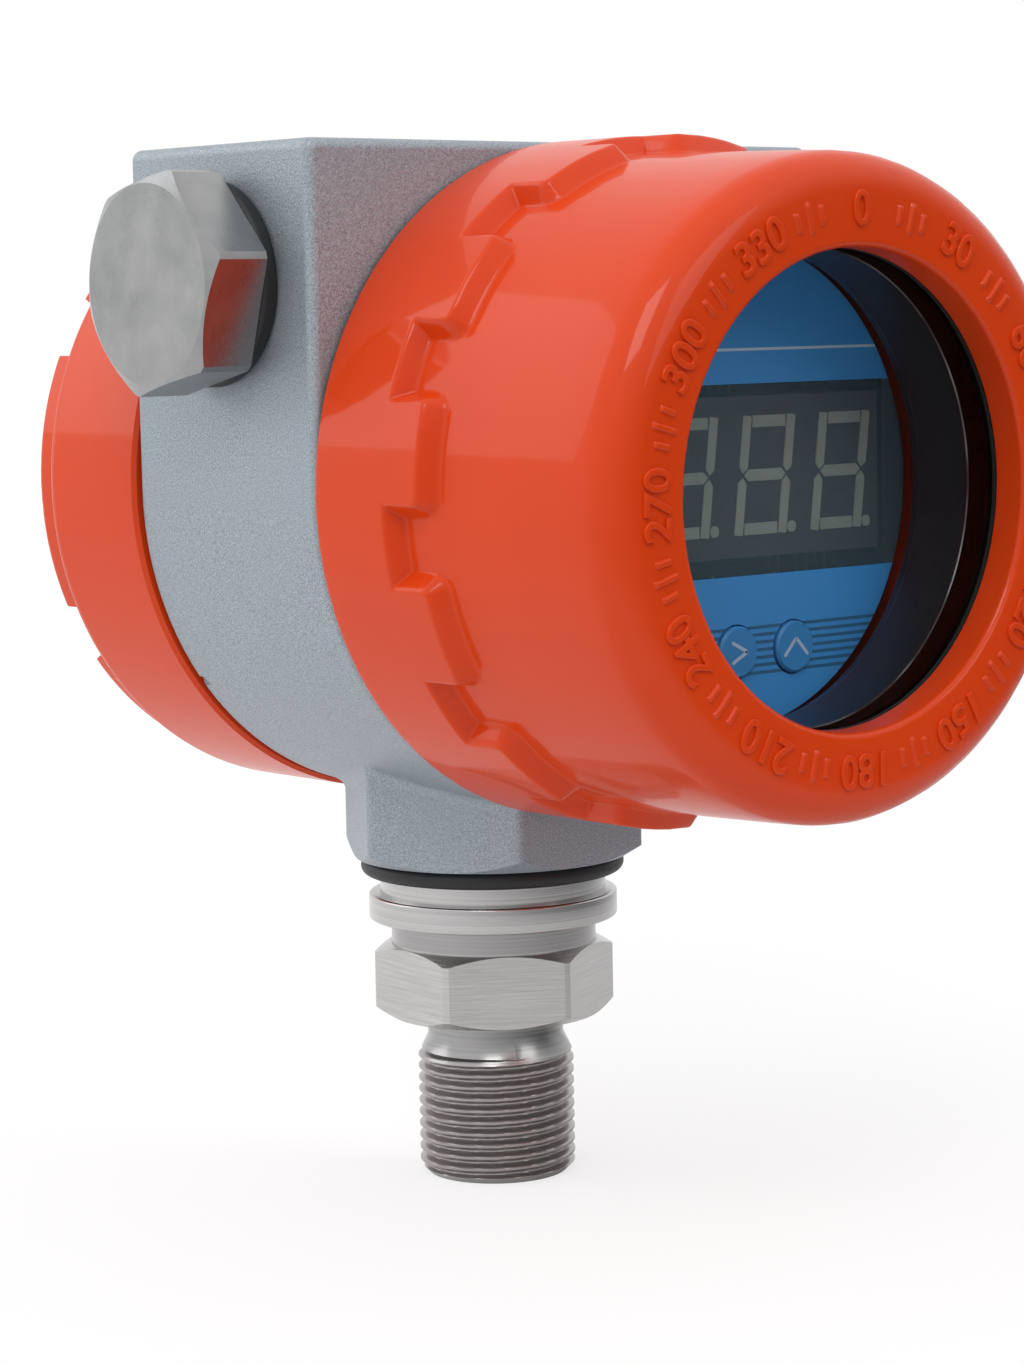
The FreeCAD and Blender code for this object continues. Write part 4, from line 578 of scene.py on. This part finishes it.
ENAMEL = orange_enamel()
LACQUER = cast_lacquer()
STEEL = turned_steel()
FACED_STEEL = faced_steel()
NICKEL = plated_metal("nickel_plate", (0.62, 0.60, 0.55), 0.28)
ZINC = plated_metal("zinc_plate", (0.66, 0.66, 0.64), 0.30)
BRASS = plated_metal("bare_brass", (0.72, 0.50, 0.20), 0.28)
RUBBER = moulded("black_rubber", (0.009, 0.009, 0.010), 0.52)
BLACK_PLASTIC = moulded("black_plastic", (0.022, 0.022, 0.024), 0.45)
POTTING = moulded("potting", (0.030, 0.030, 0.034), 0.40, 600)
KEY_BLUE = moulded("key_blue", (0.050, 0.28, 0.66), 0.42)
RIBBON = moulded("ribbon_grey", (0.30, 0.30, 0.31), 0.50)
SEGMENT = moulded("segment_pale", (0.82, 0.86, 0.72), 0.5)
MARK = moulded("mark_pale", (0.50, 0.60, 0.82), 0.45)
RING_BLACK = anodised_black()

dress(LACQUER, "housing_body")
dress(ENAMEL, "rear_cover", "front_cover")
dress(STEEL, "process_connector", "sensor_capsule", "sensor_retainer")
dress(FACED_STEEL, "entry_plug")
dress(RUBBER, "front_cover_o_ring", "rear_cover_o_ring", "neck_o_ring", "plug_washer", "gland_o_ring",
      "gland_seal", "sensor_seal")
dress(moulded("gasket_black", (0.004, 0.004, 0.004), 0.85), "window_gasket")
dress(clear_glass(), "window_glass")
dress(RING_BLACK, "glass_retaining_ring")
dress(plate_print(), "faceplate")
dress(smoked_film(), "led_window")
dress(led_face(), "led_module")
dress(KEY_BLUE, "set_key", "shift_key", "up_key")
dress(BLACK_PLASTIC, "display_carrier", "key_switches", "board_header", "terminal_block")
dress(solder_mask(), "display_pcb", "main_pcb")
dress(BRASS, "lower_standoffs", "upper_standoffs")
dress(ZINC, "display_screws", "block_screws", "inner_earth_screw", "earth_washer", "earth_screw")
dress(POTTING, "converter_module", "feedthrough_bush")
dress(RIBBON, "signal_ribbon", "sensor_leads")
dress(NICKEL, "terminal_clamps", "terminal_screws", "gland_body", "gland_nut")


# ---------------------------------------------------------------- window cover
LUG_COUNT = 12
LUG_HALF = math.radians(8.7)
LUG_CLOCKING = math.radians(7.5)
BAND_END = -31.2                # y where the plain band ends
LUG_END = -37.2                 # y where the lugs end
BARREL_BACK, BARREL_FRONT = 38.95, 38.1
STEP_WIDTH = 2.0                # width of the sloping step from band to barrel
STEP_TOP = 0.55                 # how far the step's top edge lies inside the outline
LUG_CORNER = 1.1                # corner radius of a lug, seen from outside
COVER_BORE, COVER_SHOULDER = 34.2, -34.4        # bore in front of the thread, and y where it starts
CONE_BACK, CONE_FRONT = -41.8, -45.0            # y of the two ends of the cone to the glass seat
GLASS_SEAT = 31.0
LIP_BORE, LIP_BACK = 27.3, -61.5                # lip in front of the glass


def lug_share(theta, y):
    """1 on the band and its lugs, 0 on the barrel: a slope on the distance to a battlement outline.

    The outline is the union of y > BAND_END and rounded boxes that repeat round the axis. The slope is
    straight in its middle and rounded over a quarter of its width at either end."""
    pitch = TURN / LUG_COUNT
    turn = (theta - LUG_CLOCKING + pitch / 2) % pitch - pitch / 2
    side = np.abs(turn) * BAND_RADIUS - LUG_HALF * BAND_RADIUS + LUG_CORNER
    tip = LUG_END - y + LUG_CORNER
    outside = np.hypot(np.maximum(side, 0), np.maximum(tip, 0))
    box = outside + np.minimum(np.maximum(side, tip), 0) - LUG_CORNER
    climb = np.clip(1 - (np.minimum(box, BAND_END - y) + STEP_TOP) / STEP_WIDTH, 0, 1)
    foot, head = np.minimum(climb, 0.25), np.maximum(climb - 0.75, 0)
    return (2 * foot ** 2 + np.clip(climb - 0.25, 0, 0.5) + head - 2 * head ** 2) / 0.75


def band_angles():
    """Angles round the cover, close together where a lug's sides climb."""
    pitch = TURN / LUG_COUNT
    edge = STEP_WIDTH / BAND_RADIUS
    climb = np.linspace(-0.4 * edge, 0.9 * edge, 14)
    one = np.concatenate([np.linspace(-LUG_HALF + edge, LUG_HALF - edge, 5)[1:-1], LUG_HALF + climb,
                          np.linspace(LUG_HALF + edge, pitch - LUG_HALF - edge, 4)[1:-1],
                          pitch - LUG_HALF - climb])
    return np.sort(np.concatenate([LUG_CLOCKING + k * pitch + one for k in range(LUG_COUNT)]))


def window_cover():
    """Closed section carried round the drum axis; on its outside the radius rises by the lug share."""
    front, rim = COVER_FRONT, COVER_RIM
    guide = (BARREL_FRONT + 0.2, -55.0, 0)      # left out again: it only directs the arcs next to it
    inside = rounded([
        (THREAD_WALL, rim, 0.3), (THREAD_WALL, COVER_SHOULDER, 0), (COVER_BORE, COVER_SHOULDER, 0),
        (COVER_BORE, CONE_BACK, 0), (GLASS_SEAT, CONE_FRONT, 0), (GLASS_SEAT, LIP_BACK, 0),
        (LIP_BORE, LIP_BACK, 0.3), (LIP_BORE, front, 0.8), (BARREL_FRONT, front, 4.5), guide])[:-1]
    climb = np.linspace(-0.9, 0.4, 16) * STEP_WIDTH
    outside_y = np.concatenate([np.linspace(-58, LUG_END - 2, 10), LUG_END + climb,
                                np.linspace(LUG_END + 1, BAND_END - 2, 5)[1:-1], BAND_END + climb,
                                np.linspace(BAND_END + 1, rim - 1.0, 5)])
    theta = band_angles()
    t, y = np.meshgrid(theta, outside_y)
    barrel = BARREL_BACK + (BARREL_FRONT - BARREL_BACK) * (LUG_END - y) / (LUG_END - COVER_FRONT)
    barrel = np.minimum(barrel, BARREL_BACK)
    out_r = barrel + (BAND_RADIUS - barrel) * lug_share(t, y)
    in_r = np.repeat(inside[:, :1], theta.size, axis=1)
    in_y = np.repeat(inside[:, 1:], theta.size, axis=1)
    lip = rounded([(BAND_RADIUS, rim - 1.2, 0), (BAND_RADIUS, rim, 0.5), (37.2, rim, 0)])
    lip_r = np.repeat(lip[1:-1, :1], theta.size, axis=1)
    lip_y = np.repeat(lip[1:-1, 1:], theta.size, axis=1)
    radius, height = np.concatenate([in_r, out_r, lip_r]), np.concatenate([in_y, y, lip_y])
    angle = np.repeat(theta[None], radius.shape[0], axis=0)
    piece = Piece("grip_cover")
    piece.grid(radius * np.sin(angle), height, DRUM_Z + radius * np.cos(angle), around=True, along=True)
    piece.build("window_cover", ENAMEL, replaces=("front_cover",))


RING_MIDDLE = 31.4              # radius of the middle of the clocking scale on the front ring
FIGURES = 12                    # figures on the scale
SCALE_STEP = 30                 # degrees from one to the next
MARK_BARS = ((11.5, 1.2), (15, 1.9), (18.5, 1.2))       # degrees past a figure, half a length
MARK_HALF_WIDTH, MARK_HEIGHT = 0.45, 0.36


def ring_marks():
    """Raised bars of the scale, three between two figures: soft-edged pads, the middle one longer."""
    piece = Piece("ring_marks")
    u, v = np.meshgrid(np.linspace(-1, 1, 9), np.linspace(-1, 1, 13))
    rise = MARK_HEIGHT * smooth((1 - np.abs(u)) * 2.2) * smooth((1 - np.abs(v)) * 5)
    for step, (past, half_length) in itertools.product(range(FIGURES), MARK_BARS):
        across, along = u * MARK_HALF_WIDTH, RING_MIDDLE + v * half_length
        angle = math.radians(SCALE_STEP * step + past)
        x = along * math.sin(angle) + across * math.cos(angle)
        z = along * math.cos(angle) - across * math.sin(angle)
        piece.grid(x, COVER_FRONT + 0.04 - rise, DRUM_Z + z)
        piece.grid(x[:, ::-1], np.full_like(x, COVER_FRONT + 0.05), DRUM_Z + z[:, ::-1])
    piece.build("window_cover", ENAMEL, sharp=80)


def ring_numbers():
    """Raised figures of the scale: flat figures given a thickness and a rounded edge, then turned."""
    for step in range(FIGURES):
        curve = bpy.data.curves.new("ring_number", "FONT")
        curve.body = str(SCALE_STEP * step)
        curve.size, curve.extrude = 5.4 * MM, 0.24 * MM
        curve.bevel_depth, curve.bevel_resolution = 0.13 * MM, 2
        curve.align_x, curve.align_y = "CENTER", "CENTER"
        flat = bpy.data.objects.new("ring_number", curve)
        bpy.context.scene.collection.objects.link(flat)
        mesh = bpy.data.meshes.new_from_object(flat.evaluated_get(bpy.context.evaluated_depsgraph_get()))
        bpy.data.objects.remove(flat)
        turn = math.radians(SCALE_STEP * step)
        seat = Vector((RING_MIDDLE * math.sin(turn), COVER_FRONT, DRUM_Z + RING_MIDDLE * math.cos(turn))) * MM
        upright = Matrix.Rotation(math.pi / 2, 4, "X")
        mesh.transform(Matrix.Translation(seat) @ Matrix.Rotation(turn, 4, "Y") @ upright)
        name = "ring_number_%d" % (SCALE_STEP * step)
        hang(name, mesh, "window_cover", ENAMEL, sharp=50)


RING_OUTSIDE, RING_WALL = 30.8, 29.0            # radii of its outside and of the middle of its wall
SLOT_HALF_WIDTH, SLOT_DEPTH = 1.5, 2.0


def retaining_ring():
    """Section carried round the drum axis: straight bore, stepped back edge, a spanner slot top and bottom.

    The two slots are where the back rows keep their radius but move forward by the slot's depth."""
    back, bore, outside = RING_BACK, RING_BORE, RING_OUTSIDE
    half = math.asin(SLOT_HALF_WIDTH / RING_WALL)
    edges = [k * math.pi + s * (half + d) for k in (0, 1) for s in (-1, 1) for d in (0, 0.0002)]
    theta = np.sort(np.concatenate([np.linspace(0, TURN, 180, endpoint=False) + 0.01, edges]) % TURN)
    section = rounded([(outside, RING_FRONT, 0), (bore, RING_FRONT, 0.25), (bore, back - RING_STEP, 0.2),
                       (bore + 0.22, back - RING_STEP, 0), (bore + 0.42, back, 0.15), (outside, back, 0)])
    slot = np.abs((theta + math.pi / 2) % math.pi - math.pi / 2) < half + 0.0001
    floor = back - SLOT_DEPTH
    radius = np.repeat(section[:, :1], theta.size, axis=1)
    depth = np.repeat(section[:, 1:], theta.size, axis=1)
    depth = np.where(slot[None], np.minimum(depth, floor), depth)
    angle = np.repeat(theta[None], radius.shape[0], axis=0)
    piece = Piece("retaining_ring")
    piece.grid(radius * np.sin(angle), depth, DRUM_Z + radius * np.cos(angle), around=True, along=True)
    piece.build("window_cover", RING_BLACK, replaces=("glass_retaining_ring",))


# ---------------------------------------------------------------- process connector
RUNOUT_END = 16.8               # where the thread's run-out meets the relief
RELIEF_RADIUS = 8.7
HEX_CLOCKING = math.radians(-33.4 + 30)         # middle of a flat, 30 degrees on from a corner
POCKET_RADIUS, POCKET_FLOOR = 9.6, 24.9         # pocket of the measuring cell, open at the top
PORT_RADIUS = 2.0
WAIST_RADIUS = 13.1
COLLAR_RADIUS, COLLAR_TOP = 15.9, 35.4
SHANK_RADIUS, SHANK_TOP = 14.45, 40.1
SPIGOT_RADIUS = 11.95


def thread_depth(theta, z):
    """Depth of a right-hand thread below its crest: a wave of the distance along the helix, with flat crests
    and roots and slightly rounded flanks."""
    phase = (z / THREAD_PITCH - theta / TURN) % 1.0
    ramp = np.clip((np.abs(phase - 0.5) - 0.07) / 0.33, 0, 1)
    return THREAD_DEPTH * (1 - smooth(ramp) * 0.35 - ramp * 0.65)


def hexagon_rows(theta):
    """Radii and heights of the turned hexagon: rows follow the curves where its end cones meet the flats."""
    turn = (theta - HEX_CLOCKING + TURN / 12) % (TURN / 6) - TURN / 12
    radius = np.minimum(HEX_ACROSS / 2 / np.cos(turn), HEX_CORNER)
    drop = (radius - HEX_FACE) * math.tan(math.radians(30))
    face = np.full_like(theta, HEX_FACE)
    base, top = (np.full_like(theta, height) for height in (HEX_LOW, HEX_HIGH))
    heights = [base, HEX_LOW + drop, HEX_HIGH - drop, top]
    return np.array([face, radius, radius, face]), np.array(heights)


def corner_angles(steps):
    """Even angles with the places where the hexagon's flats end added exactly."""
    reach = math.acos(HEX_ACROSS / 2 / HEX_CORNER)
    exact = [HEX_CLOCKING + k * TURN / 6 + s * reach for k in range(6) for s in (-1, 1)]
    even = HEX_CLOCKING + np.linspace(0, TURN, steps, endpoint=False)
    return np.sort(np.concatenate([even, exact]) % TURN)


def threaded_stem():
    """Turned rings round Z from the port to the spigot, with the helical thread and the hexagon let in."""
    low, top = stem_low[2], stem_high[2]
    theta = corner_angles(360)

    def turned(points):
        outline = rounded(points)
        return [np.repeat(outline[:, k:k + 1], theta.size, axis=1) for k in (0, 1)]

    bore_r, bore_z = turned([
        (POCKET_RADIUS, top, 0), (POCKET_RADIUS, POCKET_FLOOR, 0), (PORT_RADIUS, POCKET_FLOOR, 0),
        (PORT_RADIUS, low + 1.0, 0), (PORT_RADIUS + 1.0, low, 0)])
    z = np.arange(low + 0.02, THREAD_TOP + 0.9, THREAD_PITCH / 18)
    angle, height = np.meshgrid(theta, z)
    cone = np.interp(z, [low, low + 1.1, RUNOUT_END], [8.9, THREAD_RADIUS, THREAD_RADIUS])[:, None]
    runout = np.interp(z, [THREAD_TOP, RUNOUT_END], [THREAD_RADIUS, RELIEF_RADIUS])[:, None]
    thread_r = np.minimum(np.minimum(cone, THREAD_RADIUS - thread_depth(angle, height)), runout)
    relief_r, relief_z = turned([
        (9.55, 15.05, 0), (RELIEF_RADIUS, RUNOUT_END, 0), (RELIEF_RADIUS, HEX_LOW, 0)])
    hex_r, hex_z = hexagon_rows(theta)
    upper_r, upper_z = turned([
        (WAIST_RADIUS, HEX_HIGH, 0), (WAIST_RADIUS, WAIST_TOP, 0), (COLLAR_RADIUS, WAIST_TOP, 0.35),
        (COLLAR_RADIUS, COLLAR_TOP, 0.35), (SHANK_RADIUS, COLLAR_TOP, 0), (SHANK_RADIUS, SHANK_TOP, 0.2),
        (SPIGOT_RADIUS, SHANK_TOP, 0), (SPIGOT_RADIUS, top, 0.3)])
    radius = np.concatenate([bore_r, thread_r, relief_r, hex_r, upper_r])
    height = np.concatenate([bore_z, height, relief_z, hex_z, upper_z])
    angle = np.repeat(theta[None], radius.shape[0], axis=0)
    piece = Piece("threaded_stem")
    piece.grid(radius * np.cos(angle), radius * np.sin(angle), height, around=True, along=True)
    piece.build("housing", STEEL, sharp=28, replaces=("process_connector",))


# ---------------------------------------------------------------- display
def bar(piece, start, end, width, front, thickness=0.12, point=1.0, blunt=None):
    """Flat bar from start to end in the XZ plane, standing off the plane y = front.

    Its first end comes to a point by that share, and its second by blunt, or like the first."""
    start, end = np.array(start, float), np.array(end, float)
    length = np.linalg.norm(end - start)
    run = (end - start) / length
    side = np.array([-run[1], run[0]])
    shares = np.array([point, point if blunt is None else blunt])
    tip = np.maximum(width / 2 * shares, 0.02)
    along = np.array([0, tip[0], length - tip[1], length])
    ends = width / 2 * (1 - shares) + 0.01
    half = np.array([ends[0], width / 2, width / 2, ends[1]])
    ring = np.array([(-1, 0), (1, 0), (1, 1), (-1, 1)])
    across = half[:, None] * ring[None, :, 0]
    depth = np.repeat(ring[None, :, 1], 4, axis=0) * thickness
    x = start[0] + along[:, None] * run[0] + across * side[0]
    z = start[1] + along[:, None] * run[1] + across * side[1]
    y = front + depth
    piece.grid(x, y, z, around=True)
    for row in (0, 3):
        piece.grid(*(part[row, [0, 1, 3, 2]].reshape(2, 2) for part in (x, y, z)))


DIGIT_PITCH = 12.7
STROKE = 1.38                   # width of a segment
SEGMENT_GAP = 0.24              # dark line between two segments


def digit_segments():
    """Four slanted seven-segment figures with their decimal points, just proud of the module.

    The upright strokes run on to the corners and are pointed at the waist only; the bars lie between them."""
    piece = Piece("digit_segments")
    front = module_low[1] - 0.14
    middle = (module_low[2] + module_high[2]) / 2 + 0.15
    half_wide, half_tall, slant = 3.62, 6.32, math.tan(math.radians(7))
    for step in range(4):
        centre = DIGIT_PITCH * (step - 1.5) - 0.45

        def at(u, v, over=0.0):
            lift = v * half_tall + over
            return centre + u * half_wide + lift * slant, middle + lift

        for v in (-1, 0, 1):
            (x0, z0), (x1, z1) = at(-1, v), at(1, v)
            inset = SEGMENT_GAP if v == 0 else STROKE / 2 + SEGMENT_GAP
            bar(piece, (x0 + inset, z0), (x1 - inset, z1), STROKE, front, point=1.0 if v == 0 else 0.0)
        for u in (-1, 1):
            for v in (-1, 1):
                corner, waist = at(u, v, v * STROKE / 2), at(u, 0, v * SEGMENT_GAP)
                bar(piece, waist, corner, STROKE, front, point=1.0, blunt=0.18)
        x, z = at(1, -1)
        bar(piece, (x + 0.9, z - 0.02), (x + 2.2, z - 0.02), 1.3, front, point=0.5)
    piece.build("housing", SEGMENT, sharp=20)


def key_face(key):
    """Middle of a key's face in X and Z, and its place in Y."""
    low, high = span(key)
    return (low[0] + high[0]) / 2, (low[2] + high[2]) / 2, low[1]


def key_marks():
    """Chevron strokes and a ring on the keys' faces."""
    stroke = 0.42
    for key, angle, reach, depth in (("shift_key", 0, 1.25, 2.5), ("up_key", 90, 1.95, 2.1)):
        x0, z0, front = key_face(key)
        c, s = math.cos(math.radians(angle)), math.sin(math.radians(angle))

        def turned(u, v):
            return x0 + u * c - v * s, z0 + u * s + v * c

        piece = Piece(key + "_mark")
        for v in (-1, 1):
            start, tip = turned(-depth / 2, v * reach), turned(depth / 2, 0)
            bar(piece, start, tip, stroke, front - 0.03, 0.06, 0.5)
        piece.build(key, MARK, sharp=20)
    x0, z0, front = key_face("set_key")
    angle, ring = np.meshgrid(*(np.linspace(0, TURN, steps, endpoint=False) for steps in (36, 8)))
    radius = 1.25 + 0.2 * np.cos(ring)
    piece = Piece("set_key_mark")
    piece.grid(x0 + radius * np.sin(angle), front + 0.01 - 0.05 * np.sin(ring), z0 + radius * np.cos(angle),
               around=True, along=True)
    piece.build("set_key", MARK)


window_cover()
ring_marks()
ring_numbers()
retaining_ring()
threaded_stem()
digit_segments()
key_marks()


# ---------------------------------------------------------------- studio
ZENITH = 1.15                   # brightness of the surroundings overhead
BRIGHT_SIDE = (-0.80, 0.60)     # level directions
BACKDROP_SIDE = (0.65, 0.76)
FLOOR_REACH = 12.0              # in metres, like the lamps' places


def towards(x, y, side):
    """Cosine of the level angle between the direction (x, y) and a side."""
    return (x * side[0] + y * side[1]) / (x * x + y * y + 0.000001).root()


def eye_level(x, y):
    """Brightness at eye level towards (x, y): brightest on the left, dim to the front right, and a pale
    backdrop behind."""
    behind = towards(x, y, BACKDROP_SIDE).clamp()
    return 0.56 + 0.44 * towards(x, y, BRIGHT_SIDE) + behind * behind * 0.45


def studio():
    """Pale floor, white world for the eye and for reflections, and soft lamps."""
    scene = bpy.context.scene
    scene.view_settings.view_transform = "Standard"
    world = bpy.data.worlds.new("studio")
    scene.world = world
    world.use_nodes = True
    sky = Graph(world.node_tree)
    direction = sky.node("SeparateXYZ", values={"Vector": sky.node("TexCoord").outputs["Generated"]})
    x, y, up = (Value(sky.tree, direction.outputs[k]) for k in range(3))
    lift = (up / 0.75).clamp()
    lift = lift * lift * (3 - 2 * lift)
    strength = eye_level(x, y) * (1 - lift) + ZENITH * lift
    surround = sky.node("Background", values={"Color": WHITE, "Strength": strength})
    plain = sky.node("Background", values={"Color": WHITE, "Strength": 1.0})
    path = sky.node("LightPath")
    eye, through, mirrored = (Value(sky.tree, path.outputs["Is %s Ray" % kind])
                              for kind in ("Camera", "Transmission", "Glossy"))
    backdrop = eye.greater(through).greater(mirrored * towards(x, y, BACKDROP_SIDE))
    blend = sky.node("MixShader", values={0: backdrop, 1: surround.outputs[0], 2: plain.outputs[0]})
    sky.node("OutputWorld", values={"Surface": blend.outputs[0]})

    floor = Finish("pale_floor")
    matt = floor.node("BsdfDiffuse", values={"Color": (0.86, 0.86, 0.86, 1)})
    seen = Value(floor.tree, floor.node("LightPath").outputs["Is Camera Ray"])
    x, y, _ = floor.axes()
    glow = floor.node("Emission", values={"Color": WHITE, "Strength": seen.greater(eye_level(x, y))})
    far = ((x * x + y * y).root() * 4.0 - 0.35).clamp()
    look = (seen * 0.7).greater(far).greater(0.3)
    floor.done(floor.node("MixShader", values={0: look, 1: matt.outputs[0], 2: glow.outputs[0]}))
    mesh = bpy.data.meshes.new("floor")
    corners = [(x * FLOOR_REACH, y * FLOOR_REACH, 0) for x, y in ((-1, -1), (1, -1), (1, 1), (-1, 1))]
    mesh.from_pydata(corners, [], [(0, 1, 2, 3)])
    mesh.transform(Matrix.Translation((0, 0, FLOOR_Z)))
    mesh.materials.append(floor.material)
    ground = bpy.data.objects.new("floor", mesh)
    scene.collection.objects.link(ground)

    aim = Vector((0, 0, DRUM_Z * MM))
    for name, place, size, power in (
            ("key_softbox", (-0.55, -0.55, 0.85), 0.42, 2.4),
            ("fill_softbox", (0.22, -0.95, 0.55), 0.5, 1.1),
            ("rim_softbox", (-0.5, 0.7, 0.5), 0.6, 1.2)):
        lamp = bpy.data.lights.new(name, "AREA")
        lamp.size, lamp.energy = size, power
        holder = bpy.data.objects.new(name, lamp)
        holder.location = place
        holder.rotation_euler = (aim - Vector(place)).to_track_quat("-Z", "Y").to_euler()
        scene.collection.objects.link(holder)


def camera():
    """Camera left of the front, a little above, rolled about one degree."""
    azimuth, elevation, roll = math.radians(-40.4), math.radians(6.18), math.radians(-1.07)
    distance, focus = 0.4431, 91.621978
    back = Vector((math.sin(azimuth) * math.cos(elevation), -math.cos(azimuth) * math.cos(elevation),
                   math.sin(elevation)))
    right = Vector((math.cos(azimuth), math.sin(azimuth), 0))
    up = back.cross(right)
    across = right * math.cos(roll) + up * math.sin(roll)
    upward = up * math.cos(roll) - right * math.sin(roll)
    target = Vector((0, 0, 0.0619)) + right * 0.00295
    data = bpy.data.cameras.new("camera")
    data.lens, data.sensor_width, data.sensor_fit = focus, 36, "AUTO"
    data.clip_start = 0.01
    holder = bpy.data.objects.new("camera", data)
    turn = Matrix((across, upward, back)).transposed().to_4x4()
    holder.matrix_world = Matrix.Translation(target + back * distance) @ turn
    bpy.context.scene.collection.objects.link(holder)
    bpy.context.scene.camera = holder


studio()
camera()
